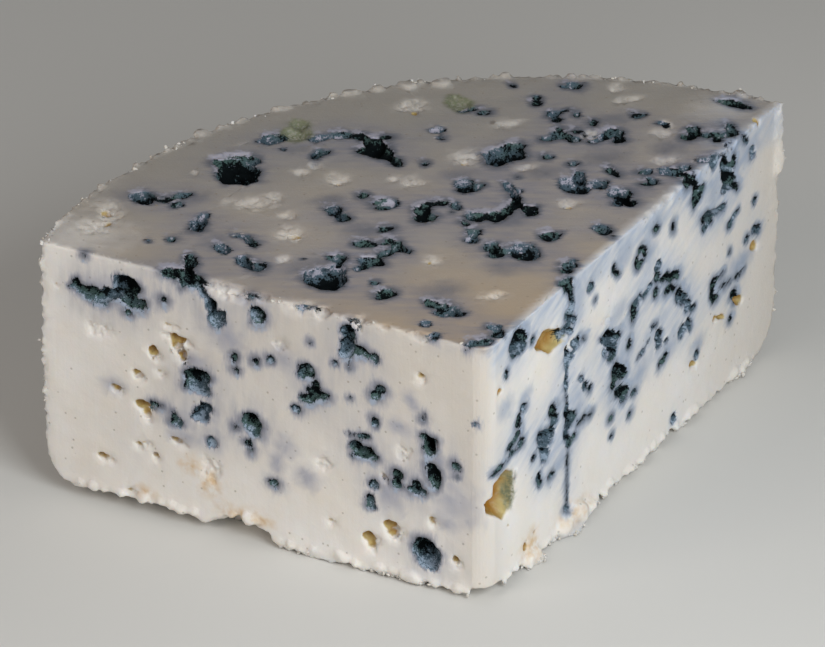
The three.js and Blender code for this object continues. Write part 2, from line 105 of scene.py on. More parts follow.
# Mould pockets
# Gaps between the lumps of curd, and the channel of a piercing needle, where blue mould grew and ate hollows.
# Each is one or more ragged hollows in a cut face: along, up, length, width, depth in mm, and its turn.
SIDES_READ_FROM = 1.7
CUT_FACES = {
    "top": (TIP + Vector((0, 0, HEIGHT)), Vector((1, 0, 0)), Vector((0, 1, 0))),
    "left": (TIP + Vector((0, 0, SIDES_READ_FROM * MM)), LEFT_ALONG, Vector((0, 0, 1))),
    "right": (TIP + Vector((0, 0, SIDES_READ_FROM * MM)), RIGHT_ALONG, Vector((0, 0, 1))),
}
RAGGEDNESS = 0.3
RAG_SIZE = 2.2 * MM
RAG_SHIFT = 0.7 * MM
RAG_SHIFT_SIZE = 1.7 * MM
FULL_SHIFT_FROM = 3.5
FINE_FROM = 2.5
FLATNESS = 4
POCKET_DEEPENING = 1.35
MOULD_POCKETS = {
    "top": [
        (-25.3, 77.3, 8, 9, 5.5), (-24.5, 82, 9, 5, 2.2, -10), (-44.6, 73.6, 4.8, 5, 2.4),
        (-41.2, 71.3, 3, 2.4, 1.2), (-37.5, 72.2, 3.4, 1.6, 1), (-39.4, 69, 2.4, 2.2, 1.2),
        (-37.9, 60.2, 3, 4.2, 2, -20), (-36, 63.2, 2.2, 3, 1, -30), (-44, 56.5, 1.8, 1.8, 0.7),
        (-48, 57, 1.2, 1.2, 0.3), (-35.8, 50.6, 2.6, 4.4, 1.4, 15), (-32, 54.6, 3, 1.5, 1, -20),
        (-30.3, 52.6, 1.8, 3.4, 1.2, 20), (-29.7, 50.4, 1.6, 2.2, 1), (-33, 44.4, 2.6, 5, 2.2, 10),
        (-31.6, 42.3, 3, 3.4, 1.4), (-46.5, 45, 2.6, 4.2, 1.6, 35), (-42.8, 47, 2.6, 6, 1.8, -20),
        (-44.5, 43.2, 3, 3, 2), (-12, 58.7, 3.2, 3.8, 1.6), (-11.3, 55.6, 2.8, 3.6, 1.3, 15),
        (-15.8, 88.7, 5.6, 4, 1.3), (-6.5, 86.7, 4.5, 2.2, 1.1), (-2.5, 86.6, 5.5, 2.4, 1.3, -12),
        (1.2, 84.6, 4, 2.8, 1.6, -45), (2.7, 81.5, 4, 4.5, 2.6), (0.2, 79.3, 3.5, 3, 3),
        (3, 77.5, 4, 4.5, 2), (4.4, 74, 2.4, 4, 1.3, 15), (5.3, 83.5, 2, 1.4, 0.7), (-8.2, 81, 3, 3, 1.8),
        (-9.7, 79.6, 1.6, 1.4, 0.6), (-14.5, 84.4, 1.6, 1.2, 0.3), (15.5, 83.5, 2.6, 2.8, 1.2),
        (15.2, 80, 1.5, 1.8, 0.4), (9.4, 71.2, 1.8, 2, 0.6), (25, 70.3, 8, 6.5, 3.6, 25),
        (22.5, 68.3, 4.2, 4, 2.4), (27.7, 73, 3.6, 3.4, 1.8, 40), (32.4, 67.4, 2.4, 1.8, 0.9),
        (36.3, 63.4, 2, 2.2, 0.9), (14.3, 61.6, 3.6, 4, 1.8), (14.6, 59.2, 4, 2.4, 1.5),
        (16.8, 60.2, 2, 1.6, 0.7), (-2, 57.4, 4.6, 2, 1.2), (-1.8, 59.3, 4, 2.4, 0.7),
        (-5, 62.7, 2, 2.2, 1), (-4.8, 49, 3, 2, 1), (3.8, 51.2, 4.6, 3.4, 1.7), (3.7, 54, 3, 4, 1.6),
        (5.3, 56, 2.6, 2.2, 1), (8, 55.8, 3.6, 1.7, 1), (10.5, 54.2, 1.8, 3, 1.1), (12.6, 48.8, 3.6, 4, 2),
        (16, 48, 4, 4, 1.4), (18.7, 49.4, 2.4, 3, 1.6, -30), (21, 51.3, 3, 2.4, 1.4, 40),
        (22, 54.5, 1.8, 3.4, 1.3), (22, 58, 2.2, 4.4, 1.6), (23.3, 56.2, 1.6, 1.8, 0.8),
        (10.2, 47, 1.2, 2.4, 0.5), (23.2, 48.7, 3.6, 3.2, 1.6), (22.6, 46.8, 2.4, 1.8, 1.2),
        (33.7, 55, 5.6, 6.4, 2.2), (35.8, 58, 2.4, 4.4, 1.6), (38.3, 54, 4, 3.6, 1.6, -20),
        (41, 49.6, 4, 5.5, 3.4, 10), (41.8, 45.8, 2.6, 2.8, 2), (39.5, 46.5, 1.6, 3, 1),
        (42.4, 58.2, 2, 4, 1, 15), (48.3, 56.4, 2.8, 2, 1.1), (48.3, 53, 1.4, 3.4, 0.9, 20),
        (47.5, 51.8, 4, 1, 0.6), (51.8, 56, 3, 2.4, 1.3), (53.5, 54.3, 4.4, 2.6, 1.8, -25),
        (55.5, 55.8, 2.4, 2, 1), (55.3, 51.8, 2.6, 3.2, 1.5), (60, 58, 2.6, 2, 1),
        (62.2, 57.5, 2.4, 3.4, 1.4, -15), (62, 69.4, 3, 4.6, 2.4), (60, 67.2, 3, 2, 1.2, -20),
        (64.6, 67, 3.6, 2.4, 1.2), (67.5, 66, 3.4, 2, 1.1, 10), (69, 68.3, 1.8, 4.4, 1.2),
        (65, 64.7, 1.6, 1.6, 1.2), (54, 78.4, 3, 1.9, 0.9), (72.8, 77.5, 7, 2.4, 2.4, -47),
        (57, 74.2, 1.9, 1.6, 0.7), (38.4, 83.4, 3, 2.4, 1.1), (38.3, 81, 2.2, 2.2, 0.9),
        (42.7, 81.8, 1.5, 2.4, 0.8), (41, 84.2, 2, 1, 0.5), (37.4, 74.8, 4, 3.2, 2.2),
        (34.4, 74.4, 2.4, 1.8, 1), (39, 72.4, 2.6, 2.2, 1.4), (40.6, 75.4, 1.6, 1.6, 0.7),
        (37.8, 77.5, 1.2, 3, 0.5), (44.7, 78, 1.3, 3, 0.8, -20), (47, 73, 4, 3.8, 2),
        (47, 70, 2.4, 3, 1.5), (43, 70.9, 3.6, 1.4, 0.8, 10), (45, 72, 2, 2.4, 1),
        (36.7, 88.4, 2.2, 2, 0.8), (37.4, 90.5, 1.5, 2.4, 0.5), (45.6, 93.2, 3.6, 2.6, 0.9),
        (43.6, 93.4, 1.6, 1.4, 0.5), (34.5, 96.4, 1.6, 1.7, 0.5), (23.6, 89.6, 3.4, 1.6, 0.9),
        (26.2, 87.7, 2.6, 1.3, 0.6), (-20.4, 34.6, 8, 8.6, 2.6), (-23, 35, 2.8, 7, 3.2),
        (-20.5, 31.3, 5.5, 2, 2.6), (-17.5, 37, 2.4, 4, 1.4), (-16.4, 41, 3, 3.4, 1.2),
        (-13.4, 36.3, 3, 1.7, 1.2, 20), (-11, 38, 4.4, 3.6, 1.9), (-9.4, 36.5, 1.6, 1.6, 0.8),
        (-7.4, 40.3, 4, 2, 1.6, 20), (-4.6, 42.2, 2.6, 4.4, 1.7), (-3.2, 40, 1.4, 2.2, 1),
        (-6, 44.2, 3, 1.2, 0.8, 25), (-10.3, 44.9, 3.4, 2.6, 1.2), (-8.8, 43.9, 2, 1.6, 0.8),
        (-12.5, 30, 1.5, 1.6, 0.7), (-11.4, 26, 3.4, 3.6, 1.5), (-12.6, 24.6, 2.6, 2, 1.1),
        (-2.7, 16.3, 4.4, 3.6, 2.3), (-5, 20, 2.2, 3.2, 1.4), (-1.4, 14.7, 3, 1.6, 1.2),
        (-3.5, 18.8, 3.4, 2.6, 0.8), (-7.8, 12.9, 2, 2, 0.8), (-7.6, 8.2, 2.6, 2.4, 0.5),
        (-0.3, 3.7, 6, 2.4, 1.1, 5), (3.6, 5.6, 3, 2.4, 1, 40), (3.8, 8.2, 2.6, 2, 1),
        (9.4, 40.6, 2.4, 2.6, 1.4), (10.4, 43, 2.4, 3, 0.8), (12.2, 37, 3.4, 3, 1.5),
        (12.4, 34.2, 3.2, 2.6, 1.6), (17.2, 35.3, 4.2, 3.6, 2), (17.6, 31.6, 3.6, 3.4, 2),
        (15.4, 32.4, 1.6, 2.4, 1.2), (19.2, 33.2, 1.4, 3.4, 1.2), (14.6, 34.6, 1.8, 2.4, 1),
        (23.7, 38, 3.8, 3.2, 1.4), (33.3, 38.2, 2.8, 2.6, 1.3), (34, 36.4, 2.6, 1.6, 1),
        (23.7, 26.6, 3, 3, 1.3), (22.6, 24.6, 2.2, 2, 1), (22, 21.4, 1.5, 1.4, 0.7),
        (24.8, 27.8, 1.6, 1.4, 0.6), (34.6, 34.2, 0.7, 0.7, 0.3), (9, 52, 0.7, 0.7, 0.3),
        (24.6, 61.3, 0.9, 0.8, 0.3), (-22.5, 42.5, 0.9, 0.8, 0.3),
    ],
    "left": [
        (82.5, 43.7, 5.6, 2.2, 1.6), (79, 43, 3.5, 1.8, 1.3), (74, 46.2, 5.6, 4.6, 3.2),
        (77.5, 44, 4, 2.4, 1.8, -15), (73, 43.5, 4.6, 2, 1.7, 5), (70.8, 44, 2, 1.2, 0.9),
        (73.6, 41.3, 1.3, 1.3, 0.8), (80, 42.1, 6, 0.9, 0.5), (84.5, 44.6, 1.4, 2.6, 0.8),
        (65.5, 51.8, 3, 1.2, 0.9), (62.5, 51.9, 3.4, 1.8, 1.3), (60, 50.9, 2.6, 2.4, 1.5, 30),
        (58, 48.9, 3.4, 1.4, 1.1, 40), (56.2, 46.5, 2.2, 3.6, 2.8), (55.2, 44.4, 3.6, 3.2, 1.6),
        (54, 45.4, 1.4, 2.6, 0.9), (47, 47.4, 3, 3.6, 1.5), (46.6, 48.3, 1.8, 1.8, 1.6),
        (48.1, 51.1, 1.6, 0.8, 0.5), (66.2, 45.8, 1.1, 1.2, 0.6), (28.3, 48.7, 3, 3, 1.4),
        (28.4, 45.6, 2.6, 4, 1.6), (28.8, 43.8, 2.6, 1.6, 1), (26, 45.3, 3, 1.4, 0.9, 8),
        (22.8, 44.4, 1.6, 1.8, 1), (24.3, 44.7, 2, 0.9, 0.6), (30.9, 41.4, 1.1, 1.3, 0.7),
        (28, 41.3, 0.7, 0.8, 0.4), (36.6, 38.4, 3, 2.6, 1.3, 25), (37.8, 37.2, 1.6, 1.6, 0.8),
        (34.9, 35.8, 1.2, 2.2, 1.1), (35.3, 34.3, 2.4, 1.4, 1.5), (33.2, 34, 2.6, 1.3, 1, -15),
        (36.2, 32.6, 3.6, 1.6, 1.3, -18), (34.5, 33.3, 2, 1.2, 0.8), (39, 29.6, 1.8, 1.4, 0.7),
        (44.2, 38.6, 1.6, 1.6, 0.7), (47.3, 37.5, 1.4, 1.6, 0.8), (51.7, 37.2, 1, 1.7, 0.6),
        (51.4, 34.8, 1.3, 1.1, 0.5), (21.7, 38.2, 2.2, 2, 1.1), (22.9, 36.6, 2, 1.8, 1),
        (22.8, 30.9, 1.5, 2.1, 1), (12.9, 34.3, 0.6, 1.8, 0.4), (59.4, 31.3, 6, 2.6, 2.4),
        (59.5, 29, 5.4, 2.6, 1.7), (58.6, 23.2, 3.2, 3, 1.6), (57.7, 25, 2.8, 2.2, 1.6),
        (60, 22.3, 1.6, 1.4, 0.8), (48, 24.7, 4, 2.6, 2.2, 20), (47.8, 23.2, 3.2, 2.4, 1.3),
        (49.8, 24, 1.5, 1.6, 0.8), (49, 19.9, 1.8, 0.9, 0.5, -35), (48.6, 18.6, 0.6, 1.6, 0.4),
        (51.3, 22.5, 1.4, 0.8, 0.4), (26.7, 25, 2.8, 1.8, 3.2), (25, 24.2, 4, 2.2, 2.2, -15),
        (23.3, 23.7, 2, 1.6, 1.2), (27.6, 27.1, 2.6, 0.5, 0.5, 12), (25.2, 27.3, 2.6, 0.7, 0.8, -14),
        (11.9, 28.6, 2, 4, 3), (12.7, 30.6, 1.6, 1, 0.7), (10.8, 30.2, 1, 1.2, 0.5),
        (10.6, 22.8, 2.6, 3.8, 1.6), (11.3, 24.5, 2, 1.8, 1), (10.4, 20.7, 1.4, 1.6, 0.8),
        (6.2, 25.9, 1.8, 1.8, 1), (6, 23.7, 0.9, 0.9, 0.4), (18.2, 21, 2.2, 1.6, 1.2, 20),
        (18.4, 19, 2.4, 1.4, 0.9, 15), (14.2, 18.6, 3.4, 2, 1.3, -10), (14.4, 20, 2, 1.2, 0.9),
        (13, 18.5, 1.4, 1.6, 0.7), (23, 17.6, 1.9, 1.8, 0.8), (23.8, 14.2, 1.2, 2, 0.8),
        (23.6, 12.9, 1.8, 1.2, 0.7), (12.4, 6.3, 5.4, 4.8, 3.8), (12, 4.2, 5, 3, 2.4),
        (10.9, 3.1, 2, 1.6, 1), (43.6, 12.6, 2, 1.2, 0.7), (2.5, 35.7, 1.4, 1.6, 0.5),
        (63.6, 20.3, 2.6, 2, 0.8), (64.3, 21.8, 1, 2, 0.5), (56.5, 17.8, 2.4, 2.2, 0.8),
        (68, 22.8, 2.6, 1, 0.5), (36.8, 51.9, 3.4, 1, 1), (82.7, 51.2, 0.7, 0.6, 0.3),
        (28, 34.7, 0.7, 0.6, 0.3), (36, 44.4, 0.6, 0.7, 0.3), (27.3, 22.7, 0.7, 0.6, 0.3),
    ],
    "right": [
        (11, 48, 5.6, 5, 2.2, -20), (8.8, 48.5, 1.6, 3, 1.6), (12.6, 46.2, 3, 1.4, 1.6, 15),
        (16.3, 46, 1.5, 1.3, 0.8), (6.8, 43.8, 1.4, 1.7, 0.7), (29, 51, 2, 3, 1.4, 20),
        (30.5, 49, 1.6, 3, 1.3, -10), (30.7, 46.6, 1.6, 3, 1.4), (29, 45, 2.4, 1.8, 1.4),
        (28.6, 42.5, 3, 1.8, 1.3), (30.2, 43.8, 2, 1.6, 1.2), (31.6, 42.7, 1.5, 1.5, 1),
        (30, 41.2, 2.4, 1.2, 0.8, -20), (29, 36.2, 1.7, 3.2, 1.4), (30.6, 35.6, 2.4, 1.6, 1.2),
        (32.8, 37.5, 2, 2.4, 1.4, -30), (34.6, 37.3, 2.6, 0.7, 0.6, -25), (28.8, 33, 1.1, 4, 0.9, 3),
        (28.8, 30.2, 1, 3, 0.8), (29, 27, 0.8, 3.6, 0.6), (29.3, 24.5, 1.6, 3, 1.2), (30, 22, 2.4, 3.4, 2),
        (32, 22.3, 2, 2, 1.6, 20), (29, 20, 2, 2.4, 1.3), (30, 17.6, 2, 2.2, 1.2),
        (31.8, 17.9, 1.8, 1.1, 0.7), (29.6, 13, 0.8, 6, 0.6, 3), (29.4, 7.5, 0.7, 5.5, 0.6, -2),
        (29.3, 3.7, 1.6, 1.6, 0.5), (33.8, 19.6, 2, 0.8, 0.7, 10), (35.7, 20, 1.8, 0.9, 0.7, 10),
        (38, 19.6, 2, 0.9, 0.7), (11.3, 31.4, 2.2, 3, 2.4, -25), (11.3, 28.6, 3, 1.9, 2.4, 10),
        (8.7, 27.6, 3, 1.2, 1.6, 20), (12.9, 33.6, 2.4, 1.4, 0.6, -20), (12.5, 26.3, 2, 1.6, 0.8),
        (9, 25.8, 5, 1, 0.6, 8), (4, 24.8, 5, 0.9, 0.6, 5), (20.6, 22.4, 4.2, 4, 2.4),
        (19.2, 24.2, 2, 1.4, 1), (23.2, 22.5, 3, 3.4, 1.5), (21.2, 19.4, 3, 2.4, 1.4),
        (24, 27.4, 3.2, 2.6, 1.4), (24.5, 25, 2.4, 2.4, 1), (17, 20.8, 1.8, 1.2, 0.8, -20),
        (18.8, 15.6, 1.7, 2, 1), (19.3, 14, 1.6, 1.4, 0.8), (23.8, 13.5, 2.4, 1.4, 0.6),
        (36, 26.6, 2.4, 1.5, 1.3, -35), (34.4, 29, 2.2, 1, 0.6, -50), (37.8, 25.2, 1.6, 1.2, 0.8),
        (44.3, 32.7, 5, 3, 2.6, -15), (46.3, 30.6, 4.4, 3.4, 2.6), (43.2, 30, 2.4, 1.2, 1.2, -50),
        (46, 28, 3, 2, 1.6), (48.3, 31.3, 2, 1.6, 1), (47.6, 23.9, 3.4, 3, 2.8),
        (50, 22.6, 4, 2.4, 2.8, -30), (47, 21.6, 2.6, 2.6, 1.4), (49, 19, 3.4, 2.2, 1.4, -20),
        (51, 17.2, 3.6, 2.8, 1.6, -20), (54.5, 16, 2.6, 0.9, 0.8, -5), (46, 14.9, 1.8, 1.1, 0.6),
        (46.3, 10.6, 1.1, 0.9, 0.4), (53, 12, 1.5, 1.2, 0.5), (37.7, 46.8, 2.4, 1.5, 0.8),
        (46.3, 46.6, 1.4, 1.8, 0.9), (47.6, 45, 2.4, 1.2, 0.7, -35), (39.5, 43.3, 0.8, 0.7, 0.3),
        (56.7, 45.5, 2.4, 1.6, 1.6), (55, 43.6, 1.6, 2, 1.1), (56.5, 42.4, 3, 1.2, 0.9),
        (58.3, 44.3, 1.2, 2.4, 0.7), (62.4, 47.2, 2.6, 1.3, 0.6, -25), (69, 44.7, 1.3, 2.2, 0.9, 15),
        (75, 50.8, 4, 1.4, 1, -25), (77.8, 49, 2, 2.4, 1.1), (78.3, 46.9, 3.4, 2.4, 1.6),
        (80.2, 47.5, 1.6, 1.4, 0.9), (77.2, 45.3, 1.2, 1.6, 0.9), (88.3, 49, 2.6, 3, 1.2),
        (89.6, 46.6, 4.6, 4.4, 1.8, 20), (91, 44, 4.4, 3.4, 1.6), (92.6, 47.5, 1.6, 3.6, 0.9),
        (93.4, 41.8, 3, 1.2, 0.9, -35), (88.5, 43.2, 1.6, 2, 0.8), (86, 51.5, 2, 1.6, 1, -25),
        (82, 40.4, 4, 1.9, 1.6, -5), (85.4, 39.9, 4, 1.4, 2, -8), (88.6, 39.6, 2, 1.4, 1),
        (82.4, 38.5, 4, 1.4, 0.9), (97, 50, 4, 0.7, 0.5, -45), (99.6, 46.6, 1.7, 1.5, 0.8),
        (100, 45.3, 2.4, 1, 0.5), (54.6, 34.7, 3.6, 2.4, 1.6), (54.2, 32.5, 2.6, 2.2, 1),
        (56.3, 35.4, 1.6, 1.5, 0.8), (58.5, 35.2, 2.2, 1.1, 0.7, 15), (60.4, 36.2, 2.2, 1.1, 0.7, 25),
        (63.2, 38.9, 2.8, 1.8, 1.1), (63, 36.6, 2.6, 2.2, 1), (62.6, 33.6, 2, 2.2, 0.9, 20),
        (66.2, 35, 3.6, 1.5, 3, -8), (69, 33.9, 3.8, 2.2, 3, -12), (71, 33.2, 1.4, 1.6, 1.2),
        (67.5, 31.8, 4, 1, 0.5, -5), (69.7, 30.9, 2, 1, 0.6), (71.7, 28.4, 3, 3.2, 1.3),
        (73.7, 26.8, 2.8, 2.6, 1.2, 40), (75.5, 24.3, 2.2, 2.6, 1, 30), (77.3, 23.2, 2.4, 1.2, 0.7, 20),
        (76, 20.4, 1.6, 3.4, 0.8, 10), (73.3, 20, 3, 2.4, 0.8, 20), (52.6, 27.5, 1.6, 1.8, 1),
        (57.5, 23, 3.6, 0.9, 0.5, 22), (60, 24.4, 2, 0.7, 0.4, 15), (62, 26.6, 2.6, 0.9, 0.4, -20),
        (64, 23.6, 2.8, 2.6, 1.7), (64.2, 21.6, 2.4, 1.6, 1.1), (67, 21, 1.6, 0.9, 0.5, -20),
        (66.2, 17.6, 3, 1.1, 0.6, 15), (64.6, 17, 1.2, 1.4, 0.5), (85.2, 24.2, 1.9, 2.6, 1.9),
        (84.7, 22.2, 1.8, 1.5, 1.3), (86, 21, 2.6, 1.2, 0.7), (86.8, 25, 1.6, 1, 0.7),
        (88.9, 25, 2, 0.7, 0.5, 10), (90, 22, 5, 0.8, 0.4, -8), (95.5, 21.7, 4, 0.8, 0.4, 10),
        (91.6, 34.3, 1.6, 1.7, 0.7, 30), (93.4, 35.6, 2.6, 1, 0.6, 15), (101.2, 34.8, 1.9, 1.7, 0.8, -30),
        (101.5, 28.7, 2.6, 1.4, 0.7, -20), (98.2, 28, 1.7, 0.9, 0.4, 10), (103, 27.8, 1.4, 2, 0.5),
        (91.7, 28.3, 0.9, 1.1, 0.5), (93.4, 18.4, 2.2, 1.6, 0.8), (94.2, 17, 1.6, 1.4, 0.7),
        (92.4, 13.4, 1.4, 1.2, 0.6), (79, 12.2, 1.8, 1.6, 0.4), (70.5, 2.4, 2, 2.2, 1),
    ],
}


def ragged_lump(lumps, face, along, up, length, width, depth, turn=0, rag=1, deepening=1):
    """Adds one uneven lump with steep sides and a flat floor, half set into a cut face, to the lumps."""
    start, along_axis, up_axis = CUT_FACES[face]
    axes = Matrix((along_axis, up_axis, along_axis.cross(up_axis))).transposed().to_4x4()
    middle = start + (along_axis * along + up_axis * up) * MM
    place = Matrix.Translation(middle) @ axes @ Matrix.Rotation(math.radians(turn), 4, "Z")
    half_size = Vector((length / 2, width / 2, depth * deepening)) * MM
    detail = 3 if max(length, width) > FINE_FROM else 2
    shift_share = rag * min(1, max(length, width) / FULL_SHIFT_FROM)
    for vert in bmesh.ops.create_icosphere(lumps, subdivisions=detail, radius=1)["verts"]:
        boxy = (vert.co.xy.length ** FLATNESS + abs(vert.co.z) ** FLATNESS) ** (-1 / FLATNESS)
        spot = place @ (vert.co * half_size * boxy)
        swell = 1 + rag * RAGGEDNESS * noise.fractal(spot / RAG_SIZE, 1, 2, 3)
        shift = noise.noise_vector(spot / RAG_SHIFT_SIZE) * RAG_SHIFT * shift_share
        vert.co = place @ (vert.co * half_size * boxy * swell) + shift


mould_hollows = bmesh.new()
for face, rows in MOULD_POCKETS.items():
    for row in rows:
        ragged_lump(mould_hollows, face, *row, deepening=POCKET_DEEPENING)


# Ochre pockets
# Hollows where the curd has broken down to a soft yellow-brown paste, with little or no blue in them. Their
# walls are smoother than the mould's, and they are cut into the faces in the same way.
OCHRE_RAG = 0.9
OCHRE_DEEPENING = 1.6
OCHRE_POCKETS = {
    "top": [
        (-52.6, 70, 1.5, 2.6, 0.8), (-53.4, 66.2, 1.4, 1.2, 0.7), (-51, 67.8, 0.8, 0.8, 0.4),
        (-21.5, 51.6, 1.9, 1.4, 0.9), (-8.7, 68.5, 1, 2, 0.6, 10), (16.6, 69.4, 1.2, 2.6, 0.7, -10),
        (13.3, 91.6, 1.2, 2.2, 0.6), (74.6, 70.4, 1.4, 2.6, 0.8), (-29.2, 85, 0.8, 0.7, 0.4),
        (-0.6, 35, 0.8, 2, 0.7), (30.3, 48, 0.9, 1.4, 0.6), (-43, 70, 0.9, 1, 0.4),
    ],
    "left": [
        (64, 37.3, 2.2, 3.4, 1.1), (62.6, 38.2, 2.4, 1, 0.7, 10), (62.6, 34.8, 1.4, 2, 0.9),
        (68.8, 34.2, 1.9, 2.2, 1), (72.2, 28.6, 2.4, 1.5, 0.8, 20), (67.5, 30.4, 1, 1.2, 0.5),
        (71.3, 22.4, 3, 1.8, 1.1), (70.3, 20.6, 1.3, 2.2, 0.8), (76.8, 24.5, 2.2, 1.2, 0.6, 10),
        (64, 16.4, 2.2, 1.2, 0.6, 20), (72.4, 13.6, 1.6, 1, 0.6, 20), (70.8, 14.2, 1.6, 0.6, 0.4),
        (68.7, 12, 1.2, 1.4, 0.6), (79.7, 9.1, 2.4, 1.3, 0.7), (19.8, 9.8, 3.4, 2.4, 1.2),
        (19.4, 8.2, 2, 1.4, 0.9), (24.3, 6.4, 2.6, 2, 1), (23.9, 4.6, 1.4, 1.8, 0.7),
        (6.6, 6.1, 1.4, 1.8, 0.8), (11.4, 13.2, 1.4, 2, 0.6), (13.7, 43, 1.3, 1.6, 0.4),
        (32.2, 7.8, 1, 0.9, 0.4), (88.8, 43.4, 0.9, 0.7, 0.3), (65.5, 40.6, 3, 0.6, 0.3),
        (66.4, 38.5, 1.3, 0.6, 0.3), (21.2, 20, 1, 1.4, 0.4), (74.3, 3, 1.4, 1, 0.5),
    ],
    "right": [
        (96, 15.4, 3.4, 1.7, 1.2, -15), (78, 10.6, 3.2, 1.4, 0.9, -20), (14.4, 2.8, 2, 2.4, 0.7),
        (17.8, 4.4, 1.6, 1.4, 0.4), (4.6, 41, 2, 1.6, 0.5), (101.5, 24.6, 3.6, 2.4, 0.8, -25),
        (88.6, 15.4, 5.5, 1.3, 0.9, -28), (86.5, 16.3, 2, 1.6, 0.7), (8, 11, 2, 0.8, 0.4, -35),
    ],
}
ochre_hollows = bmesh.new()
for face, rows in OCHRE_POCKETS.items():
    for row in rows:
        ragged_lump(ochre_hollows, face, *row, rag=OCHRE_RAG, deepening=OCHRE_DEEPENING)

# The two large ones on the right cut each have a broken outline and narrow towards the floor: the outline's
# corners and the depth in mm, and the outline's share of its full size at each share of the depth.
OPEN_OCHRE = [
    (
        (
            (7.8, 23.3), (9.5, 21.6), (9.7, 18), (9.2, 14.2), (6, 13.2), (0.9, 16.6), (0.6, 19), (2.4, 20.2),
            (2.9, 22.6), (5.2, 23),
        ), 3.6,
    ),
    (((16.7, 44), (20.8, 45.8), (26.9, 43.5), (28.4, 39.9), (23.2, 39.5), (18.6, 42.5)), 2.2),
]
OCHRE_LEVELS = ((-0.5, 1.1), (0, 1), (0.6, 0.82), (1, 0.55))
OCHRE_STEP = 0.9
start, along_axis, up_axis = CUT_FACES["right"]
for corners, depth in OPEN_OCHRE:
    corners = [Vector(corner) for corner in corners]
    middle = sum(corners, Vector((0, 0))) / len(corners)
    outline = []
    for corner, following in zip(corners, corners[1:] + corners[:1]):
        steps = max(1, round((following - corner).length / OCHRE_STEP))
        outline += [corner.lerp(following, step / steps) for step in range(steps)]
    rings = []
    for level, share in OCHRE_LEVELS:
        ring = []
        for corner in outline:
            along, up = middle + (corner - middle) * share
            spot = start + (along_axis * along + up_axis * up - RIGHT_OUT * level * depth) * MM
            shift = noise.noise_vector(spot / RAG_SHIFT_SIZE) * RAG_SHIFT
            ring.append(ochre_hollows.verts.new(spot + shift))
        rings.append(ring)
    walls = [ochre_hollows.faces.new(rings[0]), ochre_hollows.faces.new(rings[-1])]
    for upper, lower in zip(rings, rings[1:]):
        for index in range(len(outline)):
            wall = (upper[index - 1], upper[index], lower[index], lower[index - 1])
            walls.append(ochre_hollows.faces.new(wall))
    bmesh.ops.recalc_face_normals(ochre_hollows, faces=walls)
    bmesh.ops.triangulate(ochre_hollows, faces=walls)

# Patches of curd on the top that dried to a grey olive around the mould.
OLIVE_PATCHES = [
    (-10.3, 89.3, 5.5, 4.6, 1.2, 10), (-9, 92.8, 3.4, 4, 0.8, -15), (22.4, 92.6, 4, 6.5, 0.9, 10),
]
olive_hollows = bmesh.new()
for row in OLIVE_PATCHES:
    ragged_lump(olive_hollows, "top", *row)


# Torn edges
# Lumps of moist curd that came away with the wire at the foot and along the edges, and lumps that still hang
# on. Single ones are listed one by one, and rows of small ones run along an edge: face, up, from and to in
# mm.
LOST_CHUNKS = [
    ("left", 50.5, -1.7, 14, 9.8, 7), ("left", 74, -1.7, 40, 6.4, 16), ("left", 1, -1.7, 15, 5, 6),
    ("left", 88, -1.7, 9, 6, 6), ("right", 41, -1.7, 6, 5, 5), ("right", 8, -1.7, 12, 5, 5),
    ("left", 53, 51.9, 10, 2.6, 1.4), ("left", 38.4, 52, 5, 1.8, 1.1), ("left", 45, 52, 4, 1.4, 0.8),
    ("right", 69, -1.7, 7, 4, 4), ("right", 111.5, 54.6, 4, 5, 7), ("top", 72.2, 78, 8, 2.4, 1.6, -47),
]
TORN_EDGES = [
    ("left", -1.7, 8, 88), ("right", -1.7, 6, 106), ("left", 51.6, 12, 54), ("right", 51.6, 60, 104),
]
TORN_STEP = 2.6
TORN_LARGEST = 3
TORN_SHAPE = (1.4, 1, 0.5)
CLINGING_LUMPS = [
    ("right", 28.6, 0.9, 5.5, 4.4, 1.6), ("right", 33, 1.1, 5.5, 4.6, 1.9),
    ("right", 36.6, 0.2, 4, 3, 1.3), ("right", 16.5, -0.3, 6, 3.5, 1.4), ("right", 31, -1.2, 8, 3, 1.8),
    ("top", 4, 102.4, 3, 2, 1.1), ("top", 9.4, 102.4, 2.4, 2, 0.9), ("top", 15.4, 101.8, 2.8, 2, 1),
    ("top", 21.5, 101, 4, 2.4, 1.1), ("top", -28, 95, 3, 1.4, 0.7), ("right", 110.2, 47, 3.4, 8, 0.7),
    ("right", 110, 39.5, 3, 6, 0.6), ("right", 110.2, 43, 2.6, 4, 0.7),
]
LUMPY_EDGES = [("left", 0.2, 4, 43), ("left", 3.8, 46, 56), ("left", 1.9, 60, 86), ("right", 0.2, 6, 104)]
LUMP_STEP = 1.9
LUMP_LARGEST = 2.2
LUMP_SHAPE = (1.3, 1, 0.35)
RIM_ARC = (math.radians(46), math.radians(142))
RIM_STEP = 0.011
RIM_SMALLEST = 0.4
RIM_SPREAD = 1.4
RIM_SHAPE = (1.3, 1, 0.4)
RIM_RAG = 1.6
edge_draw = np.random.default_rng(7)
clinging_lumps = bmesh.new()
for lump in CLINGING_LUMPS:
    ragged_lump(clinging_lumps, *lump)
for angle in np.arange(*RIM_ARC, RIM_STEP):
    size = RIM_SMALLEST + edge_draw.random() ** 4 * RIM_SPREAD
    out = WHEEL_RADIUS / MM - edge_draw.uniform(-0.2, 0.5)
    place = (WHEEL_AXIS - TIP) / MM + Vector((math.cos(angle), math.sin(angle), 0)) * out
    sides = (size * share for share in RIM_SHAPE)
    ragged_lump(clinging_lumps, "top", *place.xy, *sides, math.degrees(angle) + 90, RIM_RAG)
